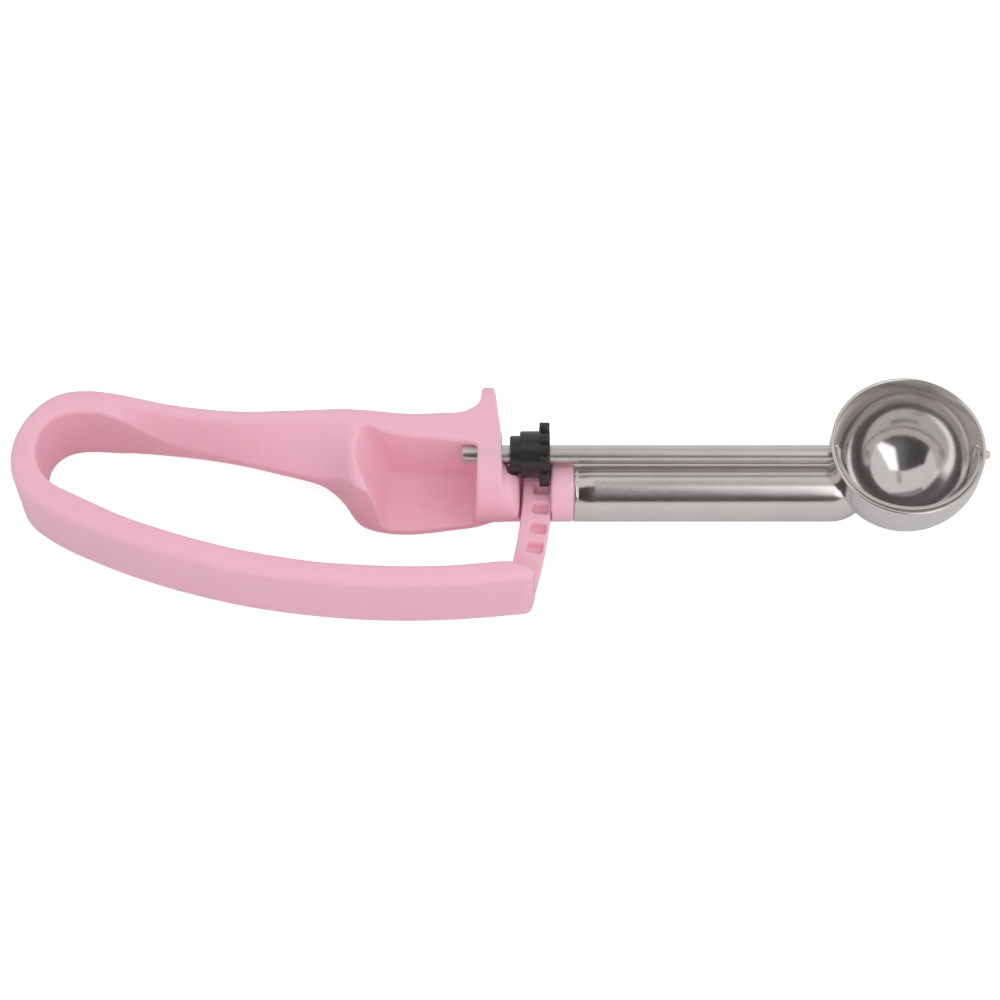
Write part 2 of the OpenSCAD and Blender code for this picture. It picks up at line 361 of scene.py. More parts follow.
    def bevel(self, thing: Solid, width: float, segments: int, angle: float) -> Solid:
        """Rounds an object's sharp edges.

        Args:
            thing: the object.
            width: the bevel's width in millimetres.
            segments: faces across the bevel.
            angle: edges sharper than this, in degrees, are rounded.

        Returns:
            The same object.
        """
        step = thing.modifiers.new("round", "BEVEL")
        step.width = width
        step.segments = segments
        step.limit_method = "ANGLE"
        step.angle_limit = math.radians(angle)
        step.harden_normals = False
        return self.settle(thing)

    def place(self, thing: Solid, finish: Finish, smooth_angle: float | None = None) -> Solid:
        """Moves a mesh from the drawing to the frame and gives it its finish.

        Args:
            thing: the object.
            finish: its one material.
            smooth_angle: edges sharper than this, in degrees, stay sharp.

        Returns:
            The same object.
        """
        thing.data.transform(Matrix.Translation(self.origin) @ Matrix.Scale(MM, 4))
        thing.data.shade_smooth()
        if smooth_angle is not None:
            work = bmesh.new()
            work.from_mesh(thing.data)
            for edge in work.edges:
                if len(edge.link_faces) == 2:
                    edge.smooth = edge.calc_face_angle(0.0) < math.radians(smooth_angle)
            work.to_mesh(thing.data)
            work.free()
        thing.data.materials.clear()
        thing.data.materials.append(finish)
        return thing


# ------------------------------------------------------------- shader groups


class Sockets(Enum):
    """Kinds of socket on a shader node group."""

    NUMBER = "NodeSocketFloat"
    COLOUR = "NodeSocketColor"
    VECTOR = "NodeSocketVector"


class NodeSheet:
    """A short way to add and link nodes in one node tree."""

    def __init__(self, tree: bpy.types.NodeTree) -> None:
        """Keeps the tree.

        Args:
            tree: the node tree that is drawn on.
        """
        self.tree = tree

    def add(self, kind: str, **settings: object) -> bpy.types.Node:
        """Adds a node.

        Args:
            kind: the node's type name.
            settings: properties, and inputs by name or number given as in_NAME.

        Returns:
            The node.
        """
        node = self.tree.nodes.new(kind)
        for name, value in settings.items():
            if name.startswith("in_"):
                key = name[3:]
                node.inputs[int(key) if key.isdigit() else key.replace("_", " ")].default_value = value
            else:
                setattr(node, name, value)
        return node

    def link(self, one: Socket, two: Socket) -> None:
        """Links an output to an input."""
        self.tree.links.new(one, two)

    def math(self, operation: str, first: object, second: object = None, clamp: bool = False) -> Socket:
        """Adds a sum on one or two values.

        Args:
            operation: the math node's operation.
            first: a socket or a number.
            second: a socket or a number, if the operation needs it.
            clamp: whether the result is kept from 0 to 1.

        Returns:
            The result's socket.
        """
        node = self.add("ShaderNodeMath", operation=operation, use_clamp=clamp)
        for index, value in enumerate((first, second)):
            if value is None:
                continue
            if isinstance(value, Socket):
                self.link(value, node.inputs[index])
            else:
                node.inputs[index].default_value = value
        return node.outputs[0]

    def ramp(self, value: Socket, stops: Sequence[tuple[float, Colour]]) -> Socket:
        """Adds a colour ramp.

        Args:
            value: what it reads.
            stops: position and colour of each stop.

        Returns:
            The colour's socket.
        """
        node = self.add("ShaderNodeValToRGB")
        elements = node.color_ramp.elements
        while len(elements) < len(stops):
            elements.new(0.5)
        for element, (position, colour) in zip(elements, stops):
            element.position = position
            element.color = (*colour, 1.0)
        self.link(value, node.inputs[0])
        return node.outputs[0]

    def blend(self, factor: object, first: object, second: object) -> Socket:
        """Mixes two colours.

        Args:
            factor: a socket or a number from 0 to 1.
            first: a socket or a colour.
            second: a socket or a colour.

        Returns:
            The mixed colour's socket.
        """
        node = self.add("ShaderNodeMix", data_type="RGBA")
        for index, value in ((0, factor), (6, first), (7, second)):
            if isinstance(value, Socket):
                self.link(value, node.inputs[index])
            elif index == 0:
                node.inputs[index].default_value = value
            else:
                node.inputs[index].default_value = (*value, 1.0)
        return node.outputs[2]

    def group(self, tree: Group, place: Socket, **values: float) -> bpy.types.Node:
        """Adds a shared effect.

        Args:
            tree: the effect's node group.
            place: the position that it reads.
            values: its inputs by name.

        Returns:
            The group's node.
        """
        node = self.add("ShaderNodeGroup", node_tree=tree)
        self.link(place, node.inputs["Position"])
        for name, value in values.items():
            node.inputs[name].default_value = value
        return node

    def bump(self, height: Socket, strength: float, depth: float, shader: bpy.types.Node) -> None:
        """Lets a height bend a shader's normal.

        Args:
            height: the height.
            strength: the bump's strength.
            depth: what a height of one stands for, in metres.
            shader: the shader.
        """
        node = self.add("ShaderNodeBump", in_Strength=strength, in_Distance=depth)
        self.link(height, node.inputs["Height"])
        self.link(node.outputs[0], shader.inputs["Normal"])

    def radius(self, first: Socket, second: Socket) -> Socket:
        """Adds the distance from zero of two coordinates."""
        squares = [self.math("MULTIPLY", part, part) for part in (first, second)]
        return self.math("SQRT", self.math("ADD", *squares))

    def thin_line(self, away: Socket, half_width: float) -> Socket:
        """Adds a mask that is 1 where a distance is 0 and fades over a width."""
        share = self.math("DIVIDE", self.math("ABSOLUTE", away), half_width)
        return self.math("SUBTRACT", 1.0, share, clamp=True)


@dataclass
class EffectLibrary:
    """The effects that several finishes share, each built once.

    Attributes:
        groups: the node groups made so far, by name.
    """

    groups: dict[str, Group] = field(default_factory=dict)

    def _start(
        self,
        name: str,
        inputs: Sequence[tuple[str, Sockets, object]],
        outputs: Sequence[tuple[str, Sockets]],
    ) -> tuple[NodeSheet, bpy.types.Node, bpy.types.Node]:
        """Makes an empty group with its sockets.

        Args:
            name: the group's name.
            inputs: name, kind and default of each input.
            outputs: name and kind of each output.

        Returns:
            The sheet to draw on, the input node and the output node.
        """
        tree = bpy.data.node_groups.new(name, "ShaderNodeTree")
        for label, kind, value in inputs:
            socket = tree.interface.new_socket(label, in_out="INPUT", socket_type=kind.value)
            if value is not None:
                socket.default_value = value
        for label, kind in outputs:
            tree.interface.new_socket(label, in_out="OUTPUT", socket_type=kind.value)
        sheet = NodeSheet(tree)
        self.groups[name] = tree
        return sheet, sheet.add("NodeGroupInput"), sheet.add("NodeGroupOutput")

    def grain(self) -> Group:
        """Fine marks drawn out along or round a surface.

        Returns:
            The group, with a Mask and a Height output.
        """
        if "drawn_grain" in self.groups:
            return self.groups["drawn_grain"]
        sheet, given, out = self._start(
            "drawn_grain",
            [
                ("Position", Sockets.VECTOR, None),
                ("Fine", Sockets.NUMBER, 1.0),
                ("Coarse", Sockets.NUMBER, 0.2),
            ],
            [("Mask", Sockets.NUMBER), ("Height", Sockets.NUMBER)],
        )
        fine = sheet.add("ShaderNodeTexNoise", in_Detail=4.0, in_Roughness=0.65)
        coarse = sheet.add("ShaderNodeTexNoise", in_Detail=2.0, in_Roughness=0.5)
        for noise, label in ((fine, "Fine"), (coarse, "Coarse")):
            sheet.link(given.outputs["Position"], noise.inputs["Vector"])
            sheet.link(given.outputs[label], noise.inputs["Scale"])
        most = sheet.math("MULTIPLY", fine.outputs[0], 0.6)
        rest = sheet.math("MULTIPLY", coarse.outputs[0], 0.4)
        sheet.link(sheet.math("ADD", most, rest), out.inputs["Mask"])
        sheet.link(fine.outputs[0], out.inputs["Height"])
        return self.groups["drawn_grain"]

    def mottle(self) -> Group:
        """Slow, faint variation of a colour with fine specks in it.

        Returns:
            The group, with a Color and a Height output.
        """
        if "mottle" in self.groups:
            return self.groups["mottle"]
        sheet, given, out = self._start(
            "mottle",
            [
                ("Position", Sockets.VECTOR, None),
                ("Base", Sockets.COLOUR, (0.8, 0.8, 0.8, 1.0)),
                ("Shade", Sockets.COLOUR, (0.7, 0.7, 0.7, 1.0)),
                ("Amount", Sockets.NUMBER, 0.3),
                ("Patch", Sockets.NUMBER, 60.0),
                ("Speck", Sockets.NUMBER, 2500.0),
            ],
            [("Color", Sockets.COLOUR), ("Height", Sockets.NUMBER)],
        )
        patch = sheet.add("ShaderNodeTexNoise", in_Detail=3.0, in_Roughness=0.5)
        speck = sheet.add("ShaderNodeTexNoise", in_Detail=2.0, in_Roughness=0.6)
        for noise, label in ((patch, "Patch"), (speck, "Speck")):
            sheet.link(given.outputs["Position"], noise.inputs["Vector"])
            sheet.link(given.outputs[label], noise.inputs["Scale"])
        spread = sheet.math("MULTIPLY", sheet.math("SUBTRACT", patch.outputs[0], 0.35), 2.2, clamp=True)
        factor = sheet.math("MULTIPLY", spread, given.outputs["Amount"], clamp=True)
        sheet.link(sheet.blend(factor, given.outputs["Base"], given.outputs["Shade"]), out.inputs["Color"])
        sheet.link(speck.outputs[0], out.inputs["Height"])
        return self.groups["mottle"]

    def hairlines(self) -> Group:
        """Short scratches left by use and washing.

        Returns:
            The group, with a Mask output.
        """
        if "hairlines" in self.groups:
            return self.groups["hairlines"]
        sheet, given, out = self._start(
            "hairlines",
            [
                ("Position", Sockets.VECTOR, None),
                ("Density", Sockets.NUMBER, 90.0),
                ("Turn", Sockets.NUMBER, 0.6),
            ],
            [("Mask", Sockets.NUMBER)],
        )
        masks = []
        for sign in (1.0, -1.35):
            turned = sheet.add("ShaderNodeVectorRotate", rotation_type="EULER_XYZ")
            angle = sheet.add("ShaderNodeCombineXYZ", in_0=0.3 * sign)
            sheet.link(sheet.math("MULTIPLY", given.outputs["Turn"], sign), angle.inputs[2])
            sheet.link(given.outputs["Position"], turned.inputs["Vector"])
            sheet.link(angle.outputs[0], turned.inputs["Rotation"])
            stretched = sheet.add("ShaderNodeMapping", in_Scale=(0.06, 1.0, 1.0))
            sheet.link(turned.outputs[0], stretched.inputs["Vector"])
            cells = sheet.add("ShaderNodeTexVoronoi", feature="DISTANCE_TO_EDGE")
            sheet.link(stretched.outputs[0], cells.inputs["Vector"])
            sheet.link(given.outputs["Density"], cells.inputs["Scale"])
            masks.append(sheet.math("LESS_THAN", cells.outputs["Distance"], 0.018))
        sheet.link(sheet.math("MAXIMUM", masks[0], masks[1]), out.inputs["Mask"])
        return self.groups["hairlines"]


# ------------------------------------------------------------------ finishes


class Grain(Enum):
    """Which way the marks of a metal finish run."""

    ALONG = "along the spindle"
    ROUND = "round the bowl"
    TURNED = "round the spindle"


@dataclass(frozen=True)
class MouldedPlastic:
    """A moulded plastic with a satin skin.

    Attributes:
        name: the material's name.
        base: the plastic's colour.
        shade: the colour of its slow variation.
        roughness: the skin's roughness.
        speck: depth of the skin's texture in metres.
        bleed: how much light goes through the skin.
        seam_z: height of the mould's parting line in metres, if it shows.
        seam_side: Y below which the parting line shows.
        seam_half: half the parting line's width in metres.
        pin: middle of the round mark that an ejector pin left, if it shows; its near half is darkened as
            painted shade.
        pin_r: that mark's radius in metres.
        pin_half: half the width of its edge in metres.
    """

    name: str
    base: Colour
    shade: Colour
    roughness: float
    speck: float
    bleed: float = 0.0
    seam_z: float | None = None
    seam_side: float = 0.0
    seam_half: float = 0.00028
    pin: Point | None = None
    pin_r: float = 0.0016
    pin_half: float = 0.00022

    def make(self, effects: EffectLibrary) -> Finish:
        """Builds the material.

        Args:
            effects: the shared node groups.

        Returns:
            The material.
        """
        material, sheet, shader = start_material(self.name)
        place = sheet.add("ShaderNodeNewGeometry").outputs["Position"]
        mottle = sheet.group(effects.mottle(), place, Amount=0.35, Patch=55.0, Speck=2600.0)
        mottle.inputs["Base"].default_value = (*self.base, 1.0)
        mottle.inputs["Shade"].default_value = (*self.shade, 1.0)
        colour = mottle.outputs["Color"]
        height = sheet.math("MULTIPLY", mottle.outputs["Height"], 0.35)
        for mark, dark, share, deep in self._marks(sheet, place):
            darkened = tuple(c * dark for c in self.base)
            colour = sheet.blend(sheet.math("MULTIPLY", mark, share), colour, darkened)
            height = sheet.math("SUBTRACT", height, sheet.math("MULTIPLY", mark, deep))
        shader.inputs["Subsurface Weight"].default_value = self.bleed
        shader.inputs["Subsurface Radius"].default_value = (1.0, 0.5, 0.45)
        shader.inputs["Subsurface Scale"].default_value = 0.003
        sheet.link(colour, shader.inputs["Base Color"])
        grain = sheet.group(effects.grain(), place, Fine=900.0, Coarse=70.0)
        spread = sheet.math("MULTIPLY", grain.outputs["Mask"], 0.12)
        sheet.link(sheet.math("ADD", self.roughness - 0.06, spread), shader.inputs["Roughness"])
        sheet.bump(height, 0.6, self.speck, shader)
        return material

    def _marks(self, sheet: NodeSheet, place: Socket) -> list[tuple[Socket, float, float, float]]:
        """Draws what the mould left on the skin, with painted shade along the near half of the pin's mark.

        Args:
            sheet: the material's sheet.
            place: the position.

        Returns:
            Of each mark its mask, how dark its colour is, the share of that
            colour, and its depth in the skin's texture.
        """
        made = []
        if self.seam_z is not None:
            made.append((self._seam(sheet, place, self.seam_z), 0.72, 0.4, 1.2))
        if self.pin is not None:
            # the pin mark is a real shallow ring, but its darkening is painted shade
            made.append((self._pin_mark_shade(sheet, place, self.pin), 0.6, 0.35, 2.0))
        return made

    def _seam(self, sheet: NodeSheet, place: Socket, level: float) -> Socket:
        """Draws the mould's slightly wavy parting line.

        Args:
            sheet: the material's sheet.
            place: the position.
            level: the line's height in metres.

        Returns:
            The line's mask.
        """
        split = sheet.add("ShaderNodeSeparateXYZ")
        sheet.link(place, split.inputs[0])
        wave = sheet.add("ShaderNodeTexNoise", in_Scale=25.0)
        sheet.link(place, wave.inputs["Vector"])
        shift = sheet.math("MULTIPLY", sheet.math("SUBTRACT", wave.outputs[0], 0.5), 0.0009)
        away = sheet.math("SUBTRACT", sheet.math("ADD", split.outputs[2], shift), level)
        side = sheet.math("LESS_THAN", split.outputs[1], self.seam_side)
        return sheet.math("MULTIPLY", sheet.thin_line(away, self.seam_half), side)

    def _pin_mark_shade(self, sheet: NodeSheet, place: Socket, pin: Point) -> Socket:
        """Draws the near half of an ejector pin's thin ring, darkened as painted shade of its shallow
        recess's lip.

        Args:
            sheet: the material's sheet.
            place: the position.
            pin: the ring's middle in metres.

        Returns:
            The mark's mask, which darkens the colour as painted shade.
        """
        away = sheet.add("ShaderNodeVectorMath", operation="SUBTRACT", in_1=pin)
        sheet.link(place, away.inputs[0])
        length = sheet.add("ShaderNodeVectorMath", operation="LENGTH")
        sheet.link(away.outputs[0], length.inputs[0])
        split = sheet.add("ShaderNodeSeparateXYZ")
        sheet.link(away.outputs[0], split.inputs[0])
        near = sheet.thin_line(sheet.math("SUBTRACT", length.outputs["Value"], self.pin_r), self.pin_half)
        # only the near half is kept, where the recess's lip would shade it: painted shade
        half = sheet.math("MULTIPLY", split.outputs[1], -900.0, clamp=True)
        return sheet.math("MULTIPLY", near, half)


@dataclass(frozen=True)
class Steel:
    """A stainless steel surface, with a painted glow where beams are caught between mirrors.

    Attributes:
        name: the material's name.
        base: the metal's colour.
        roughness: how blurred its reflections are.
        grain: which way its marks run.
        stretch: how much longer than wide the marks are.
        fine: number of marks per metre across them.
        depth: depth of the marks in metres.
        centre: the point that the marks run round.
        polish: how little of a matt veil lies on the metal, up to 1.
        painted_glow: colour of the painted glow that the metal emits for a beam caught between mirrors, in
            place of the reflection it would still bring.
        caught: number of mirrorings after which a beam counts as caught and the painted glow shows.
    """

    name: str
    base: Colour
    roughness: float
    grain: Grain
    stretch: float
    fine: float
    depth: float
    centre: Point
    polish: float = 1.0
    # painted glow: emitted by the metal where a beam has been mirrored more than caught times
    painted_glow: Colour = (0.52, 0.51, 0.50)
    caught: float = 3.5

    def make(self, effects: EffectLibrary) -> Finish:
        """Builds the material.

        Args:
            effects: the shared node groups.

        Returns:
            The material.
        """
        material, sheet, shader = start_material(self.name)
        shader.inputs["Metallic"].default_value = self.polish
        place = sheet.add("ShaderNodeNewGeometry").outputs["Position"]
        local = sheet.add("ShaderNodeVectorMath", operation="SUBTRACT", in_1=self.centre)
        sheet.link(place, local.inputs[0])
        marks = self._directions(sheet, local.outputs[0])
        grain = sheet.group(effects.grain(), marks, Fine=self.fine, Coarse=self.fine * 0.12)
        scratch = sheet.group(effects.hairlines(), place, Density=900.0, Turn=0.7).outputs["Mask"]
        mottle = sheet.group(effects.mottle(), place, Amount=0.5, Patch=120.0, Speck=3000.0)
        mottle.inputs["Base"].default_value = (*self.base, 1.0)
        mottle.inputs["Shade"].default_value = (*[c * 0.86 for c in self.base], 1.0)
        pale = sheet.math("MULTIPLY", scratch, 0.05)
        tinted = sheet.blend(pale, mottle.outputs["Color"], (0.85, 0.84, 0.82))
        sheet.link(tinted, shader.inputs["Base Color"])
        # painted glow: the metal emits light on deeply mirrored beams
        self._paint_deep_glow(sheet, shader)
        spread = sheet.math("MULTIPLY", sheet.math("SUBTRACT", grain.outputs["Mask"], 0.5), 0.16)
        dull = sheet.math("MULTIPLY", scratch, 0.04)
        rough = sheet.math("ADD", sheet.math("ADD", self.roughness, spread), dull, clamp=True)
        sheet.link(rough, shader.inputs["Roughness"])
        cut = sheet.math("MULTIPLY", scratch, 0.25)
        sheet.bump(sheet.math("SUBTRACT", grain.outputs["Height"], cut), 0.5, self.depth, shader)
        return material

    def _paint_deep_glow(self, sheet: NodeSheet, shader: bpy.types.Node) -> None:
        """Paints a glow on beams that are caught between mirrors: the metal emits a pale grey light in
        place of the reflection of the rest.

        Args:
            sheet: the material's sheet.
            shader: the shader.
        """
        # painted glow: emission switched on past the caught depth, though the metal is no lamp
        depth = sheet.add("ShaderNodeLightPath").outputs["Glossy Depth"]
        shader.inputs["Emission Color"].default_value = (*self.painted_glow, 1.0)
        caught = sheet.math("GREATER_THAN", depth, self.caught)
        sheet.link(caught, shader.inputs["Emission Strength"])

    def _directions(self, sheet: NodeSheet, local: Socket) -> Socket:
        """Squeezes the position so that the marks are drawn out.

        Args:
            sheet: the material's sheet.
            local: position from the finish's centre.

        Returns:
            The squeezed position.
        """
        split = sheet.add("ShaderNodeSeparateXYZ")
        sheet.link(local, split.inputs[0])
        x, y, z = split.outputs
        if self.grain is Grain.ALONG:
            parts = (sheet.math("DIVIDE", x, self.stretch), y, z)
        elif self.grain is Grain.TURNED:
            angle = sheet.math("MULTIPLY", sheet.math("ARCTAN2", z, y), 0.01 / self.stretch)
            parts = (x, sheet.radius(y, z), angle)
        else:
            slope = sheet.math("MULTIPLY", sheet.math("ARCTAN2", sheet.radius(x, y), z), 0.0175)
            angle = sheet.math("MULTIPLY", sheet.math("ARCTAN2", y, x), 0.0175 / self.stretch)
            parts = (slope, angle)
        joined = sheet.add("ShaderNodeCombineXYZ")
        for index, part in enumerate(parts):
            sheet.link(part, joined.inputs[index])
        return joined.outputs[0]


def start_material(name: str) -> tuple[Finish, NodeSheet, bpy.types.Node]:
    """Starts a material with one Principled shader.

    Args:
        name: the material's name.

    Returns:
        The material, its sheet and the shader node.
    """
    material = bpy.data.materials.new(name)
    material.use_nodes = True
    sheet = NodeSheet(material.node_tree)
    return material, sheet, material.node_tree.nodes["Principled BSDF"]


@dataclass
class FinishRack:
    """All the finishes of the scoop.

    Attributes:
        origin: where the drawing's zero is in the frame, in metres.
        centre: where the bowl's centre is in the frame, in metres.
        effects: the effects that the finishes share.
    """

    origin: Vector
    centre: Vector
    effects: EffectLibrary = field(default_factory=EffectLibrary)

    def __post_init__(self) -> None:
        """Builds every material."""
        about = tuple(self.centre)
        plastics = (
            MouldedPlastic(
                "pink_moulding", (0.955, 0.54, 0.65), (0.935, 0.51, 0.622), 0.42, 0.00003, bleed=0.5,
                seam_z=self.origin.z - 0.0073, seam_side=self.origin.y - 0.0145,
                # the pin mark's darkening is painted shade of its recess
                pin=tuple(self.origin + Vector((-115.7, -4.3, -15.1)) * MM),
            ),
            MouldedPlastic("black_nylon", (0.026, 0.025, 0.025), (0.034, 0.032, 0.032), 0.30, 0.00004),
        )
        steels = (
            Steel("polished_tube", (0.72, 0.69, 0.675), 0.17, Grain.ALONG, 12.0, 5200.0, 0.000006, about),
            Steel("spun_bowl", (0.72, 0.70, 0.69), 0.10, Grain.ROUND, 26.0, 3600.0, 0.000004, about, 0.93),
            Steel("ground_rod", (0.70, 0.675, 0.655), 0.30, Grain.ALONG, 16.0, 6500.0, 0.000006, about),
            Steel("blade_strip", (0.73, 0.70, 0.68), 0.16, Grain.TURNED, 10.0, 4200.0, 0.000006, about),
        )
        self.pink, self.nylon = (plastic.make(self.effects) for plastic in plastics)
        self.tube, self.bowl, self.rod, self.blade = (steel.make(self.effects) for steel in steels)
        made = len(plastics) + len(steels)
        log.info("built %d shared effects and %d finishes", len(self.effects.groups), made)


# ---------------------------------------------------------- the handle's form


Station = tuple[float, float, float, float, float, float]

FULL = 11.0
STRIP: tuple[Station, ...] = (
    (-97.4, 9.4, -97.4, -9.0, FULL, FULL),
    (-100.2, 10.0, -100.2, -10.0, FULL, FULL),
    (-103.6, 10.2, -103.6, -11.0, FULL, FULL),
    (-108.8, 10.2, -108.8, -11.7, FULL, FULL),
    (-113.6, 10.0, -113.6, -12.4, FULL, FULL),
    (-118.5, 9.9, -118.5, -12.8, FULL, FULL),
    (-123.5, 10.3, -123.5, -12.6, FULL, FULL),
    (-127.8, 10.8, -127.8, -11.7, FULL, FULL),
    (-130.6, 11.0, -130.6, -10.3, FULL, FULL),
    (-132.3, 11.15, -132.3, -8.6, FULL, 10.1),
    (-134.1, 11.25, -134.1, -6.6, FULL, 8.0),
    (-136.6, 11.2, -136.6, -5.0, FULL, 5.0),
    (-140.6, 11.0, -140.6, -3.5, FULL, 2.3),
    (-149.5, 10.7, -149.5, -1.2, FULL, 1.75),
    (-159.0, 10.5, -159.0, 1.3, FULL, 1.85),
    (-168.6, 11.3, -168.6, 3.5, FULL, 2.7),
    (-177.0, 12.6, -177.0, 5.2, FULL, 4.2),
    (-185.5, 14.6, -185.2, 7.8, FULL, 8.2),
    (-192.0, 15.8, -191.4, 9.3, FULL, 10.8),
    (-196.5, 16.1, -196.0, 9.7, FULL, FULL),
    (-201.4, 15.5, -200.0, 9.4, FULL, FULL),
    (-205.7, 13.2, -203.2, 8.1, FULL, FULL),
    (-209.3, 9.4, -205.4, 5.9, FULL, FULL),
    (-211.8, 4.6, -206.5, 3.0, FULL, FULL),
    (-212.8, -0.6, -206.7, -0.4, FULL, FULL),
    (-212.4, -5.5, -206.0, -4.1, FULL, FULL),
    (-210.4, -10.1, -204.1, -7.1, FULL, FULL),
    (-206.6, -13.6, -201.8, -9.3, FULL, FULL),
    (-201.4, -16.9, -198.2, -11.2, FULL, FULL),
    (-195.9, -19.6, -193.2, -13.7, FULL, FULL),
    (-187.0, -23.4, -185.0, -17.6, FULL, FULL),
    (-176.8, -27.0, -175.1, -21.2, FULL, FULL),
    (-168.2, -29.5, -166.8, -23.8, FULL, FULL),
    (-158.7, -31.8, -157.6, -26.2, FULL, FULL),
    (-149.1, -33.5, -148.3, -28.0, FULL, FULL),
    (-139.6, -34.7, -139.0, -29.4, FULL, FULL),
    (-130.0, -35.5, -129.7, -30.1, FULL, FULL),
    (-120.0, -35.8, -120.0, -30.5, FULL, FULL),
    (-110.0, -35.6, -110.2, -30.4, FULL, FULL),
    (-102.0, -35.1, -102.4, -29.8, FULL, FULL),
    (-97.0, -34.6, -97.2, -29.3, FULL, FULL),
    (-94.4, -34.35, -94.1, -29.3, FULL, FULL),
    (-92.1, -34.1, -91.0, -30.1, FULL, FULL),
)


@dataclass
class StripSection:
    """The rounded section of the handle's strip.

    Attributes:
        mid_z: height of the strip's middle plane.
        edge: radius along its outer edges.
        crease: radius along its inner edges where the section is deep there.
        corner_steps: points on each rounded corner, less one.
    """

    mid_z: float = -7.3
    edge: float = 2.0
    crease: float = 1.3
    corner_steps: int = 7

    def _corner(self, u: float, v: float, radius: float, start: float, stop: float) -> list[Pair]:
        """Gives points on a rounded corner.

        Args:
            u: the centre's place across the strip.
            v: the centre's place along its depth.
            radius: the corner's radius.
            start: first angle in degrees.
            stop: last angle in degrees.

        Returns:
            The points.
        """
        steps = self.corner_steps
        angles = [start + (stop - start) * k / steps for k in range(steps + 1)]
        return arc((u, v), (radius, radius), angles)

    def ring(self, station: Sequence[float], inset: float = 0.0) -> list[Point]:
        """Gives one section of the strip as points in space.

        Args:
            station: outer point, inner point and the two half depths.
            inset: how far the section is drawn in on every side.

        Returns:
            The section's points.
        """
        ox, oy, ix, iy = station[:4]
        outer, inner = station[4] - inset, min(station[5], FULL) - inset
        length = math.hypot(ox - ix, oy - iy)
        dx, dy = (ox - ix) / length, (oy - iy) / length
        width = length - 2 * inset
        most = 0.45 * width
        ro = min(self.edge - 0.6 * inset, outer, most)
        ri = min(self.crease * (0.55 + 0.45 * min(inner / 9.0, 1.0)), inner - 0.05, most)
        du, dv = ri - (width - ro), (inner - ri) - (outer - ro)
        turn = math.degrees(math.atan2(dv, du)) + (360.0 if dv < 0 else 0.0)
        turn -= math.degrees(math.acos((ro - ri) / math.hypot(du, dv)))
        flat = self._corner(width - ro, ro - outer, ro, -turn, 0.0)
        flat += self._corner(width - ro, outer - ro, ro, 0.0, turn)
        flat += self._corner(ri, inner - ri, ri, turn, 180.0)
        flat += self._corner(ri, ri - inner, ri, 180.0, 360.0 - turn)
        return [(ix + dx * (u + inset), iy + dy * (u + inset), self.mid_z + v) for u, v in flat]


def through(stations: Sequence[Sequence[float]], steps: int) -> list[list[float]]:
    """Runs a smooth curve through stations.

    Args:
        stations: the values at each station.
        steps: how many points are made for each stretch.

    Returns:
        The values along the curve.
    """
    last = len(stations) - 1
    made: list[list[float]] = []
    for i in range(last):
        near = (stations[max(i - 1, 0)], stations[i], stations[i + 1], stations[min(i + 2, last)])
        for k in range(steps):
            t = k / steps
            point = []
            for p, q, r, s in zip(*near):
                square, cube = 2 * p - 5 * q + 4 * r - s, 3 * q - p - 3 * r + s
                point.append(0.5 * (2 * q + (r - p) * t + square * t * t + cube * t ** 3))
            made.append(point)
    made.append(list(stations[last]))
    return made


